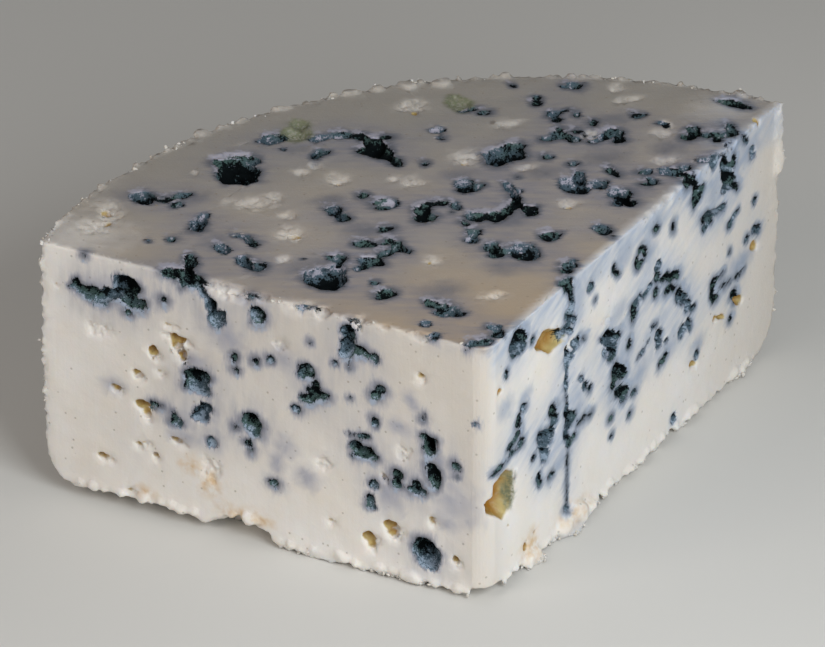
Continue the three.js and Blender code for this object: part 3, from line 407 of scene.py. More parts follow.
for face, up, first, last in LUMPY_EDGES:
    for along in np.arange(first, last, LUMP_STEP):
        size = edge_draw.uniform(0.5, 1) ** 2 * LUMP_LARGEST
        place = (along + edge_draw.uniform(-1, 1), up + edge_draw.uniform(-0.5, 0.3))
        ragged_lump(clinging_lumps, face, *place, *(size * share for share in LUMP_SHAPE))
lost_chunks = bmesh.new()
for chunk in LOST_CHUNKS:
    ragged_lump(lost_chunks, *chunk)
for face, up, first, last in TORN_EDGES:
    for along in np.arange(first, last, TORN_STEP):
        size = edge_draw.uniform(0.5, 1) ** 2 * TORN_LARGEST
        place = (along + edge_draw.uniform(-1, 1), up)
        ragged_lump(lost_chunks, face, *place, *(size * share for share in TORN_SHAPE))


# Cheese body
# One piece of moist crumbly paste: the wedge with its pockets and chunks taken out, its cut faces smooth from
# the wire and its rind side rough. Its own attributes say where mould, ochre paste, torn curd and rind are.
CUTTER_VOXEL = 0.3 * MM
VOXEL = 0.37 * MM
SOFTENING = 0.5
SOFTENINGS = 2
FAR = 8.0
DEEPEST_INSIDE = 3.2 * MM
HAZE_SPREAD = 2.4
HAZE_DEPTH = 3
FULL_HAZE_AREA = 8
PATCH_DEPTH = 2
TIP_BLEND = 5
BACK_SKIN = 1.5
BACK_FROM_CUTS = 3

# Patches on the cut faces that the mesh or the paste shows: along, up, length, width in mm, and a turn.
TORN_CURD = {
    "top": [
        (-56, 65, 6, 5), (-52, 70, 5, 8), (-26, 65.4, 9, 4.4, -20), (-21, 67.3, 3, 3), (-21, 59, 3, 2.4),
        (-22, 52, 5, 5), (-26, 43.2, 3, 3), (-8, 70, 4, 5), (-13.7, 74.5, 2.6, 3), (-10.5, 76.5, 3, 2.4),
        (17.5, 71.5, 5, 6), (13.5, 94, 6, 4), (5, 65, 4, 3.6), (1.8, 67, 2.4, 2), (0, 35, 3, 4),
        (30.4, 48.6, 3.4, 3), (7, 19.3, 5, 2.5), (29.5, 82, 5, 3), (27, 64.5, 3.4, 2), (53, 90, 3, 3),
        (53.5, 85, 5, 2.4), (56, 70, 4, 3), (58, 73, 2, 4), (53, 59.5, 5, 3), (-33, 80, 1.2, 1.6),
        (43, 73.5, 4, 4), (-24.5, 84.6, 7, 1.6, -10), (-27, 26, 4, 3, 40), (-24.5, 23.5, 3, 2.4, 40),
        (-19, 18, 3, 2, 40), (-40.6, 38.4, 11, 2.6, -43),
    ],
    "left": [
        (53, 50.6, 11, 3), (38.4, 51, 5, 2), (57, 11.5, 4, 5.5), (42, 42.3, 3, 2), (33.5, 19, 4, 3),
        (17, 26, 3, 3), (79.5, 36, 6, 3),
    ],
    "right": [(30, 38.2, 4, 2), (44, 36.6, 3, 1.4)],
}
STAINS = {
    "top": [
        (-47, 75.5, 5, 4), (-36, 71, 6, 4), (-36, 52, 5, 7), (-22, 40, 8, 5), (-13, 84, 5, 3),
        (17, 47, 10, 7), (43, 64, 9, 5), (55, 64, 6, 5), (-12, 62.5, 6, 4), (14, 65.5, 6, 4),
        (-9, 50, 7, 5), (30, 61.5, 6, 4), (48.5, 78, 6, 5), (-1, 24, 7, 5), (12, 29, 6, 5),
    ],
    "left": [
        (15.5, 37.5, 2, 4, -30), (13, 35, 3, 2), (63, 21, 4, 4), (56.5, 18, 4, 4), (68, 23, 4, 2),
        (41, 21, 4, 4), (43, 17, 3, 4), (43.5, 12.7, 4, 3), (37, 15.5, 4, 4), (77, 25, 4, 3),
        (80, 45.5, 8, 3), (60, 34, 5, 3), (48, 50, 5, 4), (63, 17.5, 5, 3), (10, 26, 3, 3),
        (54, 42, 8, 5, 40), (42, 39.3, 5, 4), (20, 16, 5, 6), (18, 31, 4, 3), (5.5, 17.5, 8, 8),
        (8, 14, 5, 4),
    ],
    "right": [
        (6.3, 36.5, 5, 4), (13.5, 35, 5, 3, 25), (33, 46, 5, 8), (38, 48, 6, 3, 20), (50, 47, 6, 4, 20),
        (62, 48, 6, 4), (52, 27, 6, 4, 25), (61, 25, 8, 4, 20), (57, 19, 8, 4, 20), (85, 44, 5, 6),
        (99, 47, 7, 4), (96, 24, 9, 4), (27, 15, 8, 4, 20), (68, 19, 8, 4, 20), (33, 24, 5, 8),
        (47, 36, 6, 3, 20), (79, 14, 6, 3, 20), (60, 43, 5, 5), (30.5, -1, 9, 2.6),
    ],
}
PALE_WALLS = {
    "top": [(-24.5, 82.6, 8, 3, -10), (-17, 38.5, 3, 5), (-6.5, 43.2, 4, 2, 20), (-2, 59.6, 4, 2)],
    "left": [
        (59.5, 29.6, 4.6, 1.8, -8), (58.8, 22.6, 2.4, 2), (81, 44.4, 6, 1.8), (73.5, 46.6, 3, 2),
        (55.3, 44.2, 2.4, 2.2), (46.9, 47.3, 2, 2.2), (47.8, 23.2, 2.4, 1.6), (12, 6.5, 3, 2),
        (28.4, 44, 1.6, 2), (36.4, 38, 1.6, 1.4), (63.8, 21, 2, 1.6), (56.5, 17.6, 2, 1.6),
    ],
    "right": [
        (11, 48, 3, 3), (43.2, 30.2, 2, 1.2, -50), (56.5, 43.8, 2.2, 1.6), (91, 46, 2.4, 2),
        (30.4, 45, 3, 3),
    ],
}
PEACH_STAINS = {
    "left": [(50, 3.8, 9, 2.6), (70.5, 3.5, 4, 2), (57, 9, 4, 4), (61, 12, 4, 3), (46, 3.6, 4, 2)],
    "right": [(31, 1.5, 9, 4), (16, 2.5, 5, 5)],
}
PALE_TOP = {"top": [(-60, 62, 14, 12), (70, 76, 9, 8), (67, 66, 8, 4, 40)]}
OLIVE_RIMS = {"right": [(9, 17.8, 2.6, 9), (8.6, 20.6, 3.4, 2.6), (27.6, 42.4, 2.6, 3)]}
for along, up, length, width, _, *turn in OCHRE_POCKETS["left"]:
    TORN_CURD["left"].append((along - 0.4 * length, up - 0.4 * width, length + 0.8, 0.8 * width + 0.8, *turn))


def settle(piece):
    """Makes a piece's modifiers part of its mesh."""
    done = piece.evaluated_get(bpy.context.evaluated_depsgraph_get())
    mesh = bpy.data.meshes.new_from_object(done)
    piece.modifiers.clear()
    piece.data = mesh


def add_object(name, data):
    """Adds an object at the origin to the scene."""
    added = bpy.data.objects.new(name, data)
    bpy.context.scene.collection.objects.link(added)
    return added


def piece_from(shape, name):
    """Makes a piece from a bmesh."""
    mesh = bpy.data.meshes.new(name)
    shape.to_mesh(mesh)
    return add_object(name, mesh)


def rows_of(items, name, width, kind=float):
    """Gives one property of a mesh's vertices, edges or triangles, a row for each."""
    values = np.empty(len(items) * width, dtype=kind)
    items.foreach_get(name, values)
    return values.reshape(-1, width)


def points_of(mesh):
    """Gives a mesh's vertices as rows of x, y, z in metres."""
    return rows_of(mesh.vertices, "co", 3)


def triangles_of(mesh):
    """Gives the three vertices of each triangle of a mesh."""
    mesh.calc_loop_triangles()
    return rows_of(mesh.loop_triangles, "vertices", 3, np.int32)


def unevenness(points, size):
    """Gives each point a value of about -1 to 1 that rises and falls over the given size in millimetres."""
    return np.array([noise.fractal(point, 1, 2, 3) for point in points / (size * MM)])


def lumpiness(points, size):
    """Gives each point a value of about -0.5 to 0.5, in rounded lumps of the given size in millimetres."""
    return np.array([0.5 - noise.voronoi(point)[0][0] for point in points / (size * MM)])


def depths_of(points):
    """Says how far each point is under the top, the left and right cuts, the rind and the base, in mm."""
    from_tip = points - np.array(TIP)
    under_top = HEIGHT - points[:, 2]
    under_left = -from_tip @ np.array(LEFT_OUT)
    under_right = -from_tip @ np.array(RIGHT_OUT)
    under_rind = WHEEL_RADIUS - np.hypot(points[:, 0] - WHEEL_AXIS.x, points[:, 1] - WHEEL_AXIS.y)
    return [depth / MM for depth in (under_top, under_left, under_right, under_rind, points[:, 2])]


def under_cut_of(points):
    """Says how far each point is under the nearest cut, or under the rounded tip, in mm."""
    under_top, under_left, under_right = depths_of(points)[:3]
    beside = np.minimum(under_left, under_right)
    radius = TIP_RADIUS / MM
    rounded = radius - np.hypot(np.maximum(radius - under_left, 0), np.maximum(radius - under_right, 0))
    return np.minimum(under_top, np.where(beside < radius, rounded, beside))


def rightness_of(points):
    """Says which side cut each point belongs to, from 0 on the left to 1 on the right, blended at the tip."""
    under_left, under_right = depths_of(points)[1:3]
    return np.clip(0.5 + (under_left - under_right) / TIP_BLEND, 0, 1)


def behind(points):
    """Says which points are on the rind or the base, away from the cuts."""
    under_rind, over_base = depths_of(points)[3:]
    return (np.minimum(under_rind, over_base) < BACK_SKIN) & (under_cut_of(points) > BACK_FROM_CUTS)


def on_face(points, face):
    """Gives each point's place along and up a cut face, and its distance from that face, in mm."""
    start, along_axis, up_axis = (np.array(part) for part in CUT_FACES[face])
    return [(points - start) @ axis / MM for axis in (along_axis, up_axis, np.cross(along_axis, up_axis))]


def spread_from(along, up, away, middle_along, middle_up, length, width, turn=0):
    """Says how far places on a face are from the middle of a patch, 1 at the patch's edge."""
    cos, sin = math.cos(math.radians(turn)), math.sin(math.radians(turn))
    across = ((along - middle_along) * cos + (up - middle_up) * sin) / (length / 2)
    over = ((up - middle_up) * cos - (along - middle_along) * sin) / (width / 2)
    return np.sqrt(across ** 2 + over ** 2 + (away / PATCH_DEPTH) ** 2)


def patches(points, rows_by_face, softness, wobble):
    """Says how far each point is inside any of the patches, from 0 to 1."""
    inside = np.zeros(len(points))
    for face, rows in rows_by_face.items():
        places = on_face(points, face)
        for row in rows:
            spread = spread_from(*places, *row) + wobble
            inside = np.maximum(inside, np.clip((1 + softness - spread) / (2 * softness), 0, 1))
    return inside


def haze_of(points, rows_by_face):
    """Says how much mould grows round each point, from 0 with none near to 1 between large pockets."""
    nearby = np.zeros(len(points))
    for face, rows in rows_by_face.items():
        along, up, away = on_face(points, face)
        nearness = np.exp(-(away / HAZE_DEPTH) ** 2)
        for row_along, row_up, length, width, *_ in rows:
            spread = HAZE_SPREAD + (length + width) / 4
            apart = (along - row_along) ** 2 + (up - row_up) ** 2
            share = min(1, length * width / FULL_HAZE_AREA)
            nearby += share * nearness * np.exp(-apart / (2 * spread ** 2))
    return (1 - np.exp(-nearby)) ** 2


def gap_to(lumps, points):
    """Says how far each point is outside the lumps, in millimetres, below zero inside them."""
    tree = BVHTree.FromBMesh(lumps)
    gaps = np.full(len(points), FAR)
    for index, point in enumerate(points):
        near, normal, _, distance = tree.find_nearest(point, FAR * MM)
        if near is not None:
            outside = distance > DEEPEST_INSIDE or (Vector(point) - near).dot(normal) > 0
            gaps[index] = (distance if outside else -distance) / MM
    return gaps


body = piece_from(wedge, "cheese_body")
for lumps in (mould_hollows, ochre_hollows, olive_hollows, lost_chunks):
    cutter = piece_from(lumps, "hollows")
    fuse = cutter.modifiers.new("fuse", "REMESH")
    fuse.mode = "VOXEL"
    fuse.voxel_size = CUTTER_VOXEL
    settle(cutter)
    take_out = body.modifiers.new("take out", "BOOLEAN")
    take_out.operation = "DIFFERENCE"
    take_out.solver = "MANIFOLD"
    take_out.object = cutter
    settle(body)
    lumps.clear()
    lumps.from_mesh(cutter.data)
    bpy.data.objects.remove(cutter)

joined = bmesh.new()
joined.from_mesh(body.data)
shape = bpy.data.meshes.new("lumps")
clinging_lumps.to_mesh(shape)
joined.from_mesh(shape)
joined.to_mesh(body.data)
even = body.modifiers.new("even", "REMESH")
even.mode = "VOXEL"
even.voxel_size = VOXEL
soften = body.modifiers.new("soften", "SMOOTH")
soften.factor = SOFTENING
soften.iterations = SOFTENINGS
settle(body)

# Relief of the surface: the cut faces almost flat, the pockets pitted, the rind and base crumbly, the torn
# curd scooped out with a raised fluffy edge.
CUT_SKIN = 0.4
BASE_BORDER = 4
RIND_SKIN = 1.6
FOOT_SKIN = 0.3
RELIEF_SIZES = (5, 1.7, 0.9, 0.55)
PITTING = 0.14
LARGE_LUMPS = 1.9
SMALL_LUMPS = 0.9
MOST_ABOVE = 0.6 * MM
points = points_of(body.data)
under_top, under_left, under_right, under_rind, over_base = depths_of(points)
under_cut = under_cut_of(points)
on_cut = np.clip(1 - under_cut / CUT_SKIN, 0, 1)
inside_base = np.min((under_left, under_right, under_rind), axis=0) > BASE_BORDER
to_rough = np.minimum(under_rind, np.where(inside_base, FAR, over_base))
on_rind = np.clip(RIND_SKIN - to_rough, 0, 1) * np.clip(0.35 + under_cut, 0, 1)
in_pocket = (1 - on_cut) * (1 - on_rind) * (over_base > FOOT_SKIN)
broad, middling, fine, finest = (unevenness(points, size) for size in RELIEF_SIZES)
torn = patches(points, TORN_CURD, 0.35, 0.5 * middling)
relief = in_pocket * PITTING * (fine + finest)
crumbly = np.flatnonzero(on_rind > 0)
lumps_there = 1.5 * lumpiness(points[crumbly], LARGE_LUMPS) + lumpiness(points[crumbly], SMALL_LUMPS)
relief[crumbly] += on_rind[crumbly] * (0.4 * broad[crumbly] + 0.35 * middling[crumbly] + lumps_there - 0.3)
relief += torn * (0.4 * fine + 0.25 * finest - 0.55) + 0.4 * torn * (1 - torn)
points += rows_of(body.data.vertices, "normal", 3) * relief[:, None] * MM
points[:, 2] = np.clip(points[:, 2], 0, HEIGHT + MOST_ABOVE)
body.data.vertices.foreach_set("co", points.ravel())

# Thinning spends the mesh on the pockets, the torn curd and the crumbly edges, less on the back.
BACK_TRIANGLES = 24000
FRONT_TRIANGLES = 84000
for at_back, kept in ((True, BACK_TRIANGLES), (False, FRONT_TRIANGLES)):
    there = behind(points_of(body.data)) == at_back
    triangles = triangles_of(body.data)
    spare = max(0, there[triangles].all(axis=1).sum() - kept)
    body.vertex_groups.new(name="thinned").add(np.flatnonzero(there).tolist(), 1, "REPLACE")
    thin = body.modifiers.new("thin", "DECIMATE")
    thin.vertex_group = "thinned"
    thin.ratio = 1 - spare / len(triangles)
    settle(body)
    body.vertex_groups.clear()

# The cut faces are made quite flat again, bits that the pockets cut loose and flakes of no thickness are
# taken out, and thin triangles of the flat parts are turned to better ones.
CUTS_OUT = np.array(((0, 0, 1), LEFT_OUT, RIGHT_OUT))
FLAT_WITHIN = 0.04
FLAT_ANGLE = math.radians(1)
points = points_of(body.data)
for out, under in zip(CUTS_OUT, depths_of(points)):
    points += np.where(abs(under) < FLAT_WITHIN, under, 0)[:, None] * out * MM
body.data.vertices.foreach_set("co", points.ravel())
evened = bmesh.new()
evened.from_mesh(body.data)
reached = [max(evened.verts, key=lambda vert: vert.co.length)]
in_one = set(reached)
while reached:
    vert = reached.pop()
    others = {edge.other_vert(vert) for edge in vert.link_edges} - in_one
    in_one |= others
    reached.extend(others)
bmesh.ops.delete(evened, geom=[vert for vert in evened.verts if vert not in in_one], context="VERTS")
bmesh.ops.triangulate(evened, faces=evened.faces)
sides_of = {}
for face in evened.faces:
    sides_of.setdefault(frozenset(face.verts), []).append(face)
flakes = [face for sides in sides_of.values() if len(sides) > 1 for face in sides]
bmesh.ops.delete(evened, geom=flakes, context="FACES")
flat_edges = [edge for edge in evened.edges if edge.is_manifold and edge.calc_face_angle() < FLAT_ANGLE]
bmesh.ops.beautify_fill(evened, faces=evened.faces, edges=flat_edges, method="ANGLE")
evened.to_mesh(body.data)

# Long edges are halved until the mesh can carry the stains, and the cut faces get their slight waviness.
HALVINGS = 5
PLAIN_EDGE = 1.9
BACK_EDGE = 5
STAINED_EDGE = 1.1
STAINED_WITHIN = 2
WAVES = ((0.12, 6), (0.04, 2))
for _ in range(HALVINGS):
    spans = points_of(body.data)[rows_of(body.data.edges, "vertices", 2, np.int32)]
    lengths = np.linalg.norm(spans[:, 0] - spans[:, 1], axis=1) / MM
    middles = spans.mean(axis=1)
    at_back = behind(middles)
    limits = np.where(at_back, BACK_EDGE, PLAIN_EDGE).astype(float)
    between = np.flatnonzero((lengths > STAINED_EDGE) & ~at_back)
    limits[between[gap_to(mould_hollows, middles[between]) < STAINED_WITHIN]] = STAINED_EDGE
    halved = bmesh.new()
    halved.from_mesh(body.data)
    halved.edges.ensure_lookup_table()
    long_edges = [halved.edges[index] for index in np.flatnonzero(lengths > limits)]
    bmesh.ops.subdivide_edges(halved, edges=long_edges, cuts=1, use_single_edge=True)
    bmesh.ops.triangulate(halved, faces=[face for face in halved.faces if len(face.verts) > 3])
    halved.to_mesh(body.data)
points = points_of(body.data)
under_top, under_left, under_right = depths_of(points)[:3]
waviness = sum(height * unevenness(points, size) for height, size in WAVES)
waviness *= np.clip(1 - under_cut_of(points) / CUT_SKIN, 0, 1)
rightness = rightness_of(points)[:, None]
outward = np.where(
    (under_top < np.minimum(under_left, under_right))[:, None], CUTS_OUT[0],
    rightness * CUTS_OUT[2] + (1 - rightness) * CUTS_OUT[1],
)
points += outward * waviness[:, None] * MM
points[:, 2] = np.maximum(points[:, 2], 0)
body.data.vertices.foreach_set("co", points.ravel())
body.data.shade_smooth()

# What the paste shows at each point, as gaps in mm and shares from 0 to 1. The wire's trail, the painted
# shadow under the near rim, the painted light on the far wall and the amber of the ochre, which is partly
# painted shade, lie this far to one side, in mm, on the top, left and right.
TRAIL_REACH = ((0.3, -2.1, 0), (0, 0, 1.3), tuple(-1.5 * RIGHT_ALONG - Vector((0, 0, 0.8))))
RIM_SHADOW_REACH = ((0, -1.3, 0), (0, 0, 0.9), (0, 0, 0.9))
LIT_WALL_REACH = ((0, 0.7, 0), (0, 0, -0.9), (0, 0, -0.8))
AMBER_REACH = ((0, -1, 0), (0, 0, 0.7), tuple(-1.8 * RIGHT_ALONG + Vector((0, 0, 1.2))))
MOULD_AGES = (0.93, 0.78, 0.88)
OLIVE_REACH = 1.2
SKIN_AND_SHADE_DEPTH = 0.7
RIGHT_SKIN_AND_SHADE_EDGE = 2
TOP_LENGTH = 95 * MM
SHADE_FROM_RIND = 40
SHADE_FROM_BASE = 45
SHADE_AT_TIP = 9
DEEPEST_SHOWN = 9
points = points_of(body.data)
under_top, under_left, under_right, under_rind, over_base = depths_of(points)
under_cut = under_cut_of(points)
wobble = 0.5 * unevenness(points, 1.7)
ochre_gap = gap_to(ochre_hollows, points)
cut_of = np.argmin([under_top, under_left, under_right], axis=0)
cool = rightness_of(points)
to_trail, to_rim_shadow, to_lit_wall, to_amber = (
    np.array(reach)[cut_of] * MM for reach in (TRAIL_REACH, RIM_SHADOW_REACH, LIT_WALL_REACH, AMBER_REACH)
)
olive_rims = patches(points, OLIVE_RIMS, 0.5, wobble) * np.clip(1 - ochre_gap / 0.6, 0, 1)
right_edge = np.clip(1.4 - under_top / 6, 0, 1) * np.clip(1 - under_right, 0, 1)
# The top's darker tan, partly a dried skin and partly painted shade, lies just under the top and fades out at
# the side cuts.
top_skin_and_shade = np.clip(1.8 - under_top / SKIN_AND_SHADE_DEPTH, 0, 1)
top_skin_and_shade *= np.clip(np.minimum(under_left / SKIN_AND_SHADE_DEPTH, under_right / RIGHT_SKIN_AND_SHADE_EDGE), 0, 1)
fields = {
    "mould_gap": gap_to(mould_hollows, points),
    "trail_gap": gap_to(mould_hollows, points + to_trail),
    # Painted shadow: the gap to a pocket's near rim, which is its front on the top and its upper side on the
    # sides.
    "rim_shadow_gap": gap_to(mould_hollows, points + to_rim_shadow),
    # Painted light: the gap to a pocket's far wall on the top and to its lower wall on the sides.
    "lit_wall_gap": gap_to(mould_hollows, points + to_lit_wall),
    "ochre_gap": ochre_gap,
    "ochre_rim": gap_to(ochre_hollows, points + to_amber),
    "olive_gap": np.minimum(gap_to(olive_hollows, points), OLIVE_REACH * (1 - olive_rims)),
    "cool": cool,
    "top_face": (cut_of == 0).astype(float),
    "torn_curd": np.maximum(
        patches(points, TORN_CURD, 0.5, wobble) * np.where(cut_of == 0, 0.6, 0.9),
        0.5 * np.clip(0.7 - gap_to(clinging_lumps, points), 0, 1),
    ),
    "peach": patches(points, PEACH_STAINS, 0.8, wobble),
    "stain": patches(points, STAINS, 0.7, wobble),
    "pale_wall": patches(points, PALE_WALLS, 0.35, wobble),
    "haze": np.maximum(haze_of(points, MOULD_POCKETS), right_edge),
    "top_skin_and_shade": top_skin_and_shade * (1 - 0.6 * patches(points, PALE_TOP, 0.9, wobble)),
    "tipward": np.clip(1 - (points[:, 1] - TIP.y) / TOP_LENGTH, 0, 1),
    "rind": np.clip(2.5 - np.minimum(under_rind, over_base), 0, 1) * np.clip(under_cut / 1.5, 0, 1),
    # Painted shade: the paste is darker towards the rind along the right cut, away from the foot and rind on
    # the left cut, and at the tip.
    "paste_shade": (
        cool * 0.9 * np.clip(1 - under_rind / SHADE_FROM_RIND, 0, 1)
        + (1 - cool) * np.clip(np.minimum(under_rind, over_base) / SHADE_FROM_BASE, 0, 1)
        + 0.7 * np.clip(1 - (under_left + under_right) / SHADE_AT_TIP, 0, 1)
    ),
    "depth": np.clip(under_cut, 0, DEEPEST_SHOWN),
    "mould_age": np.choose(cut_of, MOULD_AGES),
}
for name, values in fields.items():
    body.data.attributes.new(name, "FLOAT", "POINT").data.foreach_set("value", values)

# The wire's path over each cut, across and along its drag, in millimetres.
TOP_DRAG = math.radians(-16)
RIGHT_DRAG = math.radians(25)
PATHS_APART = 40
top_along = np.array((math.cos(TOP_DRAG), math.sin(TOP_DRAG), 0))
right_along = np.array(RIGHT_ALONG) * math.cos(RIGHT_DRAG) + np.array((0, 0, math.sin(RIGHT_DRAG)))
drags = (
    (under_top, np.array((-top_along[1], top_along[0], 0)), top_along),
    (under_left, np.array(LEFT_ALONG), np.array((0, 0, 1.0))),
    (under_right, np.cross(np.array(RIGHT_OUT), right_along), right_along),
)
drag = np.zeros((len(points), 3))
for index, (under, across, along) in enumerate(drags):
    here = cut_of == index
    drag[here] = np.stack((points[here] @ across, points[here] @ along, under[here] * MM), axis=1) / MM
    drag[here, 2] += PATHS_APART * index
body.data.attributes.new("drag", "FLOAT_VECTOR", "POINT").data.foreach_set("vector", drag.ravel())


def linear(hex_colour):
    """Turns an sRGB hex colour to linear red, green, blue and alpha."""
    parts = [int(hex_colour[i:i + 2], 16) / 255 for i in (1, 3, 5)]
    return tuple(p / 12.92 if p <= 0.04045 else ((p + 0.055) / 1.055) ** 2.4 for p in parts) + (1.0,)


def new_material(name):
    """Adds a material, and gives it with its node tree and its shader."""
    material = bpy.data.materials.new(name)
    material.use_nodes = True
    return material, material.node_tree, material.node_tree.nodes["Principled BSDF"]


def fill_sockets(tree, node, sockets):
    """Gives each of a node's sockets a value, or a link from an output."""
    for socket, value in sockets.items():
        if isinstance(value, bpy.types.NodeSocket):
            tree.links.new(value, node.inputs[socket])
        else:
            node.inputs[socket].default_value = value


def add_node(tree, kind, sockets=None, out=0, **settings):
    """Adds a shader node with its settings, fills its sockets and gives one of its outputs."""
    node = tree.nodes.new("ShaderNode" + kind)
    for name, value in settings.items():
        setattr(node, name, value)
    fill_sockets(tree, node, sockets or {})
    return node.outputs[out]


# Cheese paste: moist ivory curd, so light spreads a few millimetres into it and edges glow. Its top is a
# darker tan, partly a dried skin and partly painted shade. The mould stains it blue-grey round each pocket,
# and the wire smeared the stains a little.
PASTE = linear("#efedec")
PASTE_CREAM = linear("#e9e0d3")
PASTE_SHADED = linear("#d3cbc1")
TOP_TAN = linear("#a7a09c")
TOP_WARM = linear("#b2a696")
TOP_TIP = linear("#b5a086")
TOP_BACK = linear("#a19b93")
TOP_GREY = linear("#86858f")
FRESH_CURD = linear("#e6dfd6")
RIND_CREAM = linear("#e6e0d7")
HAZE_GREY = linear("#b7b5b8")
HAZE_BLUE = linear("#a9b6c9")
PEACH = linear("#d2ae78")
PINHOLE_SHADE = linear("#8f8272")
STAIN_PALE = linear("#9396a8")
STAIN_BLUE = linear("#8b9cb5")
STAIN_TOP = linear("#676a76")
STAIN_DARK = linear("#565b63")
STAIN_TRAIL = linear("#a6b2c4")
OCHRE_DEEP = linear("#9c6d1e")
OCHRE_PALE = linear("#c0ae76")
OLIVE = linear("#767a60")
LIP_LAVENDER = linear("#aaa8b4")
MOULD_BLACK = linear("#0f1416")
MOULD_TEAL = linear("#4f606b")
MOULD_GREEN = linear("#495e5b")
MOULD_PALE = linear("#95a4b4")
PINHOLES_APART = 2.4 * MM
MIXED = {"out": 2, "data_type": "RGBA"}
EASED = {"interpolation_type": "SMOOTHSTEP"}

paste, tree, shader = new_material("cheese paste")
spot = add_node(tree, "TexCoord", out="Object")
drag_path = add_node(tree, "Attribute", out="Vector", attribute_name="drag")
field = {name: add_node(tree, "Attribute", out="Fac", attribute_name=name) for name in fields}

# Patterns all through the paste, by their size in mm, and patterns that the wire drew out, by their size
# across and along its path, each with its detail and roughness.
cloud, mottle, patchy, grain, speck = (
    add_node(
        tree, "TexNoise", {"Vector": spot, "Scale": 1 / (size * MM), "Detail": detail, "Roughness": rough}
    )
    for size, detail, rough in ((9, 2, 0.5), (2, 3, 0.5), (1.4, 2, 0.5), (0.55, 3, 0.6), (0.28, 1, 0.5))
)
drawn = []
for across, along, detail, rough in (
    (1.6, 7, 3, 0.5), (0.5, 14, 2, 0.5), (6, 18, 4, 0.5), (0.5, 2.2, 3, 0.6),
):
    path = add_node(tree, "Mapping", {"Vector": drag_path, "Scale": (1 / across, 1 / along, 1)})
    drawn.append(add_node(
        tree, "TexNoise", {"Vector": path, "Scale": 1, "Detail": detail, "Roughness": rough}
    ))
smear, wire_lines, streak, feather = drawn
pinhole = add_node(tree, "TexVoronoi", {"Vector": spot, "Scale": 1 / PINHOLES_APART})
pinhole = add_node(tree, "MapRange", {0: pinhole, 1: 0.06, 2: 0.13, 3: 1.0, 4: 0.0})

# Fields that show through a broken pattern: the pattern's range, and the share of the field that it lets by.
broken = []
for pattern, low, high, least, most, name in (
    (smear, 0.3, 0.7, 0.35, 1.0, "haze"), (mottle, 0.3, 0.65, 0.25, 1.0, "torn_curd"),
    (mottle, 0.35, 0.62, 0.0, 0.85, "peach"), (cloud, 0.35, 0.65, 0.6, 1.0, "stain"),
):
    share = add_node(tree, "MapRange", {0: pattern, 1: low, 2: high, 3: least, 4: most})
    broken.append(add_node(tree, "Math", {0: share, 1: field[name]}, operation="MULTIPLY"))
washed, flaked, peachy, buried = broken

# The top, a dried skin darkened further as painted shade, is browner at the tip and greyer at the back and
# round the mould.
warmth = add_node(tree, "MapRange", {0: streak, 1: 0.25, 2: 0.75})
tan_back = add_node(tree, "MapRange", {0: field["tipward"], 1: 0.4, 2: 0.1})
tan_tip = add_node(tree, "MapRange", {0: field["tipward"], 1: 0.55, 2: 0.95})
tan = TOP_TAN
for share, tint in ((warmth, TOP_WARM), (tan_back, TOP_BACK), (tan_tip, TOP_TIP), (washed, TOP_GREY)):
    tan = add_node(tree, "Mix", {0: share, 6: tan, 7: tint}, **MIXED)
haze_tint = add_node(tree, "Mix", {0: field["cool"], 6: HAZE_GREY, 7: HAZE_BLUE}, **MIXED)
# Each tiny pinhole is painted brown as the shade inside it.
pinhole_shade = add_node(tree, "Math", {0: pinhole, 1: 0.45}, operation="MULTIPLY")
layers = [
    (cloud, PASTE_CREAM), (field["paste_shade"], PASTE_SHADED), (washed, haze_tint), (field["top_skin_and_shade"], tan),
    (field["rind"], RIND_CREAM), (flaked, FRESH_CURD), (peachy, PEACH), (pinhole_shade, PINHOLE_SHADE),
]

# The stain fades over a millimetre or two from each pocket, further where the wire dragged it.
reach = add_node(tree, "MapRange", {0: cloud, 1: 0.35, 2: 0.65, 3: -1.5, 4: 0.6})
for pattern, weight in ((smear, 1.6), (feather, 3.0)):
    reach = add_node(tree, "Math", {0: pattern, 1: weight, 2: reach}, operation="MULTIPLY_ADD")
fade = add_node(tree, "MapRange", {0: field["mould_gap"], 1: 0.0, 2: reach, 3: 1.0, 4: 0.0}, **EASED)
stained = add_node(tree, "Math", {0: fade, 1: buried}, operation="MAXIMUM")
pale_stain = add_node(tree, "Math", {0: stained, 1: 0.8}, operation="MULTIPLY")
stain = add_node(tree, "Mix", {0: field["cool"], 6: STAIN_PALE, 7: STAIN_BLUE}, **MIXED)
# On the top the stain is darker too, as part of the top's painted shade.
stain = add_node(tree, "Mix", {0: field["top_skin_and_shade"], 6: stain, 7: STAIN_TOP}, **MIXED)
dark_stain = add_node(tree, "Math", {0: fade, 1: 3.5}, operation="POWER")
dark_stain = add_node(tree, "Math", {0: dark_stain, 1: 0.65}, operation="MULTIPLY")
layers += [(pale_stain, stain), (dark_stain, STAIN_DARK)]

# The wire drew the mould on past each pocket: a fuzzy lavender lip on the top, blue-grey trails on the sides.
trailing = field["trail_gap"]
for pattern, weight in ((grain, -1.0), (patchy, -4.0), (feather, -1.4), (cloud, -4.0)):
    trailing = add_node(tree, "Math", {0: pattern, 1: weight, 2: trailing}, operation="MULTIPLY_ADD")
trail_cover = add_node(tree, "MapRange", {0: trailing, 1: -5.2, 2: -6.5, 4: 0.85}, **EASED)
trail = add_node(tree, "Mix", {0: field["top_skin_and_shade"], 6: STAIN_TRAIL, 7: LIP_LAVENDER}, **MIXED)
layers += [(trail_cover, trail)]

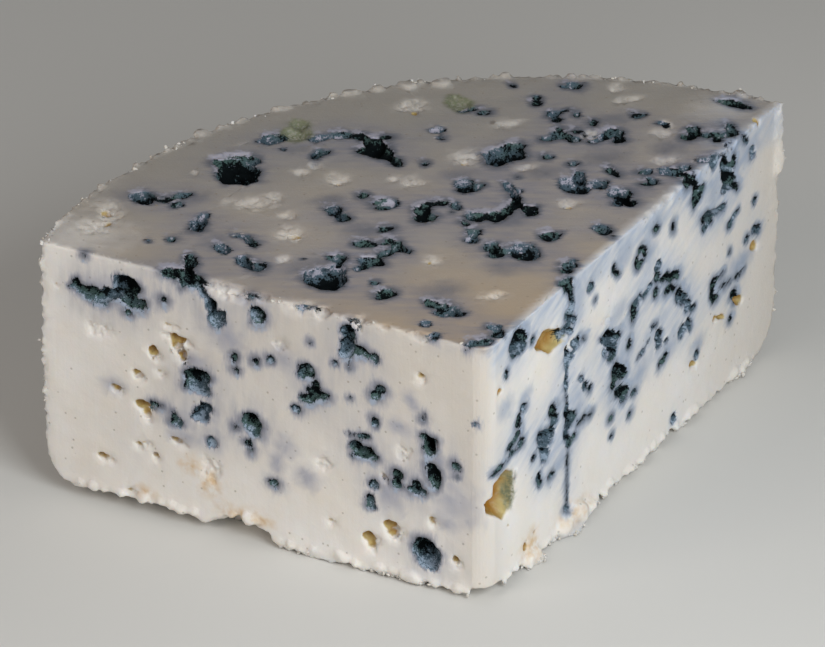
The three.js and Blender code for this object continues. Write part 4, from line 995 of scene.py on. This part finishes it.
# Ochre paste: amber in the depth of a hollow and on one side, partly its own colour and partly painted shade,
# straw-coloured and broken at its edge, with olive rims.
ochre_floor = add_node(tree, "MapRange", {0: field["depth"], 1: 0.15, 2: 0.9, 3: 0.7, 4: 0.0})
ragged_ochre = add_node(tree, "Math", {0: field["ochre_gap"], 1: ochre_floor}, operation="ADD")
ragged_ochre = add_node(tree, "Math", {0: mottle, 1: -1.0, 2: ragged_ochre}, operation="MULTIPLY_ADD")
ochre_cover = add_node(tree, "MapRange", {0: ragged_ochre, 1: 0.2, 2: -0.4}, **EASED)
# Deeper in a hollow the ochre turns amber as painted shade. It also turns amber towards one side, as painted
# shade under the front rim on the top and under the upper rim on the left.
ochre_shade = field["ochre_rim"]
for pattern, weight in ((mottle, 0.9), (field["depth"], 0.7)):
    ochre_shade = add_node(tree, "Math", {0: pattern, 1: weight, 2: ochre_shade}, operation="MULTIPLY_ADD")
ochre_deep = add_node(tree, "MapRange", {0: ochre_shade, 1: -0.2, 2: 2.8}, **EASED)
ochre = add_node(tree, "Mix", {0: ochre_deep, 6: OCHRE_PALE, 7: OCHRE_DEEP}, **MIXED)
olive_cover = add_node(tree, "MapRange", {0: field["olive_gap"], 1: OLIVE_REACH, 2: 0.0, 4: 1.4}, **EASED)
olive_grain = add_node(tree, "MapRange", {0: grain, 1: 0.35, 2: 0.6, 3: 0.4, 4: 0.75})
olive_cover = add_node(tree, "Math", {0: olive_cover, 1: olive_grain}, operation="MULTIPLY")
layers += [(ochre_cover, ochre), (olive_cover, OLIVE)]

# Mould: a powdery lining with a broken black-green rim, teal to grey-green on the floor of a pocket and
# powder-blue where it is young. Painted shade blackens it under the near rim and deep in a pocket, and
# painted light makes it paler on the far wall.
sunk = add_node(tree, "Math", {0: field["depth"], 1: 0.6}, operation="MINIMUM")
ragged_mould = field["mould_gap"]
for pattern, weight in ((sunk, -2.0), (mottle, -0.8), (grain, -0.7), (speck, -0.7), (feather, -3.4)):
    ragged_mould = add_node(tree, "Math", {0: pattern, 1: weight, 2: ragged_mould}, operation="MULTIPLY_ADD")
mould_cover = add_node(tree, "MapRange", {0: ragged_mould, 1: -2.55, 2: -3.35}, **EASED)
age_and_shade = field["mould_age"]
# Painted shade pushes it towards black under the near rim and deep in a pocket, painted light pushes it
# towards powder-blue on the far wall, and it is a little darker just under the cut.
for pattern, low, high, least, most in (
    (field["rim_shadow_gap"], 0.0, 1.0, 0.0, 0.5), (cloud, 0.35, 0.65, -0.25, 0.25),
    (field["depth"], 0.2, 0.7, 0.12, 0.0), (field["lit_wall_gap"], 0.0, 1.0, 0.0, -0.32),
    (field["depth"], 0.8, 3.0, 0.0, 0.4),
):
    age_and_shade_step = add_node(tree, "MapRange", {0: pattern, 1: low, 2: high, 3: least, 4: most})
    age_and_shade = add_node(tree, "Math", {0: age_and_shade, 1: age_and_shade_step}, operation="ADD")
for pattern, weight in ((patchy, 1.4), (grain, 0.9), (speck, 0.8), (field["pale_wall"], -0.35)):
    age_and_shade = add_node(tree, "Math", {0: pattern, 1: weight, 2: age_and_shade}, operation="MULTIPLY_ADD")
mould_kind = add_node(tree, "MapRange", {0: cloud, 1: 0.42, 2: 0.6}, **EASED)
young_and_lit = add_node(tree, "MapRange", {0: age_and_shade, 1: 2.2, 2: 1.92}, **EASED)
old_and_shaded = add_node(tree, "MapRange", {0: age_and_shade, 1: 2.36, 2: 2.6}, **EASED)
bloom = add_node(tree, "Mix", {0: field["top_face"], 6: MOULD_PALE, 7: LIP_LAVENDER}, **MIXED)
lining = MOULD_TEAL
for share, tint in ((mould_kind, MOULD_GREEN), (young_and_lit, bloom), (old_and_shaded, MOULD_BLACK)):
    lining = add_node(tree, "Mix", {0: share, 6: lining, 7: tint}, **MIXED)
layers += [(mould_cover, lining)]

surface = PASTE
for cover, tint in layers:
    surface = add_node(tree, "Mix", {0: cover, 6: surface, 7: tint}, **MIXED)
dryness = add_node(tree, "MapRange", {0: field["torn_curd"], 1: 0.0, 2: 0.5, 3: 0.46, 4: 0.8})
height = add_node(tree, "Math", {0: grain, 1: mottle}, operation="ADD")
for pattern, weight in ((wire_lines, 0.6), (pinhole, -1.5)):
    height = add_node(tree, "Math", {0: pattern, 1: weight, 2: height}, operation="MULTIPLY_ADD")
bump_depth = add_node(tree, "MapRange", {0: mould_cover, 3: 0.2, 4: 0.5})
fill_sockets(tree, shader, {
    "Base Color": surface,
    "Roughness": add_node(tree, "MapRange", {0: mould_cover, 3: dryness, 4: 0.95}),
    "Specular IOR Level": add_node(tree, "MapRange", {0: mould_cover, 3: 0.5, 4: 0.05}),
    "IOR": 1.42,
    "Subsurface Weight": add_node(tree, "MapRange", {0: mould_cover, 3: 0.6, 4: 0.02}),
    "Subsurface Radius": (1.0, 0.8, 0.6),
    "Subsurface Scale": 1.4 * MM,
    "Normal": add_node(tree, "Bump", {"Height": height, "Strength": bump_depth, "Distance": 0.3 * MM}),
})
body.data.materials.clear()
body.data.materials.append(paste)
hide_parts("cheese_wedge")
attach(body, "root")


# Mould grains
# Loose grains of the blue-green powder, a fifth of a millimetre across, that stand on the rims of the pockets
# and just outside them. They are scattered over the mouldy part of the body.
GRAIN_COUNT = 3500
GRAIN_SMALLEST = 0.04 * MM
GRAIN_LARGEST = 0.11 * MM
GRAIN_KINDS = 5
GRAIN_REACH = 0.8
TOP_SHARE = 0.15


def scattered(name, shapes, places, sizes, draw):
    """Makes one piece of many small lumps, each a turned and scaled copy of one of the shapes."""
    triangles = np.array([[vert.index for vert in face.verts] for face in shapes[0].faces])
    corners = np.array([[vert.co for vert in shape.verts] for shape in shapes])
    picked = corners[draw.integers(len(shapes), size=len(places))]
    quaternions = draw.normal(size=(len(places), 4))
    w, x, y, z = (quaternions / np.linalg.norm(quaternions, axis=1, keepdims=True)).T
    turns = np.array([
        [1 - 2 * (y * y + z * z), 2 * (x * y - z * w), 2 * (x * z + y * w)],
        [2 * (x * y + z * w), 1 - 2 * (x * x + z * z), 2 * (y * z - x * w)],
        [2 * (x * z - y * w), 2 * (y * z + x * w), 1 - 2 * (x * x + y * y)],
    ]).transpose(2, 0, 1)
    spots = places[:, None] + np.einsum("nij,nkj->nki", turns, picked) * sizes[:, None, None]
    faces = triangles[None] + np.arange(len(places))[:, None, None] * corners.shape[1]
    mesh = bpy.data.meshes.new(name)
    mesh.from_pydata(spots.reshape(-1, 3).tolist(), [], faces.reshape(-1, 3).tolist())
    mesh.shade_smooth()
    shade = np.repeat(draw.random(len(places)), corners.shape[1])
    mesh.attributes.new("shade", "FLOAT", "POINT").data.foreach_set("value", shade)
    return add_object(name, mesh)


def uneven_balls(count, detail, stretch, unevenness_share):
    """Makes a few differing lumps of about unit radius to be scattered."""
    balls = []
    for number in range(count):
        ball = bmesh.new()
        for vert in bmesh.ops.create_icosphere(ball, subdivisions=detail, radius=1)["verts"]:
            place = vert.co + Vector((number * 7.3, 0, 0))
            bulge = noise.noise(place * 1.1) + 0.6 * noise.noise(place * 2.7)
            vert.co = vert.co * stretch * (1 + unevenness_share * bulge)
        ball.verts.index_update()
        balls.append(ball)
    return balls


grain_draw = np.random.default_rng(11)
triangles = triangles_of(body.data)
area_of = rows_of(body.data.loop_triangles, "area", 1)[:, 0]
gap_there = fields["mould_gap"][triangles].mean(axis=1)
shallow = np.clip(1.6 - fields["depth"][triangles].mean(axis=1), 0.1, 1)
on_side = np.where(cut_of[triangles[:, 0]] == 0, TOP_SHARE, 1)
mouldy = np.clip(GRAIN_REACH - gap_there, 0, GRAIN_REACH) ** 2 * shallow * on_side * area_of
chosen = triangles[grain_draw.choice(len(triangles), GRAIN_COUNT, p=mouldy / mouldy.sum())]
share = grain_draw.dirichlet((1, 1, 1), GRAIN_COUNT)
grain_places = (points[chosen] * share[:, :, None]).sum(axis=1)
grain_sizes = GRAIN_SMALLEST + (GRAIN_LARGEST - GRAIN_SMALLEST) * grain_draw.random(GRAIN_COUNT) ** 2
grain_shapes = uneven_balls(GRAIN_KINDS, 1, Vector((1, 1, 1)), 0.5)
grains = scattered("mould_grains", grain_shapes, grain_places, grain_sizes, grain_draw)

# Mould powder: dry and matt, from black-green through teal to powder blue, each grain in one shade.
powder, tree, shader = new_material("blue mould powder")
shade = add_node(tree, "Attribute", out="Fac", attribute_name="shade")
greener = add_node(tree, "MapRange", {0: shade, 1: 0.3, 2: 0.8})
bluer = add_node(tree, "MapRange", {0: shade, 1: 0.85, 2: 0.95})
colour = add_node(tree, "Mix", {0: greener, 6: MOULD_BLACK, 7: MOULD_TEAL}, **MIXED)
colour = add_node(tree, "Mix", {0: bluer, 6: colour, 7: MOULD_PALE}, **MIXED)
fill_sockets(tree, shader, {"Base Color": colour, "Roughness": 0.85, "Specular IOR Level": 0.15})
grains.data.materials.append(powder)
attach(grains, "root")


# Crumbs
# Bits of the same curd, up to a millimetre across, that the wire and the hand rubbed off. They stick along
# the foot, the upper edge of the left cut and the rind, mostly in clusters.
CRUMB_COUNT = 1100
CRUMB_SMALLEST = 0.07 * MM
CRUMB_LARGEST = 0.42 * MM
CRUMB_KINDS = 9
CRUMB_SHAPE = Vector((1.25, 0.95, 0.7))
CRUMB_SHIFT = 0.12 * MM
CLUSTERS = 6
CRUMB_WHITE = linear("#dedad5")
CRUMB_CREAM = linear("#cfc8bc")

crumb_draw = np.random.default_rng(23)
near_foot = (over_base < 1.2) & (np.minimum(under_left, under_right) < 0.8)
near_rim = (under_rind < 1.2) & (under_cut < 0.7)
near_left_edge = (under_top < 0.6) & (under_left < 0.6)
clustered = np.clip(0.25 + 1.6 * unevenness(points, CLUSTERS), 0, 1)
likelihood = 5.0 * near_foot + 0.5 * near_rim + 0.8 * near_left_edge + 0.3 * (under_rind < 1.8)
likelihood = likelihood * clustered * (fields["mould_gap"] > 0.6)
spots_picked = crumb_draw.choice(len(points), CRUMB_COUNT, p=likelihood / likelihood.sum())
crumb_sizes = CRUMB_SMALLEST + (CRUMB_LARGEST - CRUMB_SMALLEST) * crumb_draw.random(CRUMB_COUNT) ** 3
crumb_places = points[spots_picked] + crumb_draw.normal(size=(CRUMB_COUNT, 3)) * CRUMB_SHIFT
crumb_places[:, 2] = np.maximum(crumb_places[:, 2], crumb_sizes * 1.2)
crumb_shapes = uneven_balls(CRUMB_KINDS, 2, CRUMB_SHAPE, 0.75)
crumbs = scattered("curd_crumbs", crumb_shapes, crumb_places, crumb_sizes, crumb_draw)

# Dry curd: the same paste in loose bits, matt and white to cream, each bit in one shade.
dry_curd, tree, shader = new_material("dry curd")
shade = add_node(tree, "Attribute", out="Fac", attribute_name="shade")
fill_sockets(tree, shader, {
    "Base Color": add_node(tree, "Mix", {0: shade, 6: CRUMB_WHITE, 7: CRUMB_CREAM}, **MIXED),
    "Roughness": 0.85,
    "Specular IOR Level": 0.2,
    "Subsurface Weight": 0.4,
    "Subsurface Radius": (1.0, 0.85, 0.7),
    "Subsurface Scale": 0.4 * MM,
})
crumbs.data.materials.append(dry_curd)
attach(crumbs, "root")


# Studio
# A plain pale floor and soft boxes: a cool one from the right, a weaker warm one from the left, a little
# light from above. The long lens looks down at the tip, a little from the left.
FLOOR_PALE = linear("#d9d7d2")
FLOOR_HALF = 4
LENS = 351.5
SENSOR = 36
CAMERA_AWAY = 1.5
CAMERA_AZIMUTH = math.radians(-16.5)
CAMERA_RISE = math.radians(29.6)
LOOK_AT = Vector((-7, -7, 29.7)) * MM
OFF_CENTRE = (-0.8 * MM, 4.3 * MM)
SOFT_BOXES = {
    "right box": (Vector((0.065, -0.375, 0.265)), 0.25, 1.5, (0.925, 0.97, 1.0)),
    "left box": (Vector((-0.46, -0.18, 0.36)), 0.25, 0.585, (1.0, 0.905, 0.845)),
    "top box": (Vector((-0.05, -0.1, 0.8)), 0.4, 0.2, (1.0, 0.98, 0.97)),
}
ROOM_LIGHT = 0.2

ground = bmesh.new()
bmesh.ops.create_grid(ground, x_segments=1, y_segments=1, size=FLOOR_HALF)
floor = piece_from(ground, "floor")
floor_paint, tree, shader = new_material("pale matt paint")
fill_sockets(tree, shader, {"Base Color": FLOOR_PALE, "Roughness": 0.9})
floor.data.materials.append(floor_paint)

for name, (place, size, power, colour) in SOFT_BOXES.items():
    lamp = bpy.data.lights.new(name, "AREA")
    lamp.size = size
    lamp.energy = power
    lamp.color = colour
    box = add_object(name, lamp)
    box.location = place
    box.rotation_euler = (place - LOOK_AT).to_track_quat("Z", "Y").to_euler()

room = bpy.data.worlds.new("room")
room.use_nodes = True
backdrop = room.node_tree.nodes["Background"]
fill_sockets(room.node_tree, backdrop, {"Color": (1, 1, 1, 1), "Strength": ROOM_LIGHT})
bpy.context.scene.world = room
bpy.context.scene.view_settings.view_transform = "Standard"

back = Vector((
    math.sin(CAMERA_AZIMUTH) * math.cos(CAMERA_RISE),
    -math.cos(CAMERA_AZIMUTH) * math.cos(CAMERA_RISE),
    math.sin(CAMERA_RISE),
))
right = Vector((math.cos(CAMERA_AZIMUTH), math.sin(CAMERA_AZIMUTH), 0))
above = back.cross(right)
view = bpy.data.cameras.new("camera")
view.lens = LENS
view.sensor_width = SENSOR
camera = add_object("camera", view)
turned = Matrix((right, above, back)).transposed().to_4x4()
camera.matrix_world = Matrix.Translation(
    LOOK_AT + back * CAMERA_AWAY + right * OFF_CENTRE[0] + above * OFF_CENTRE[1]
) @ turned
bpy.context.scene.camera = camera
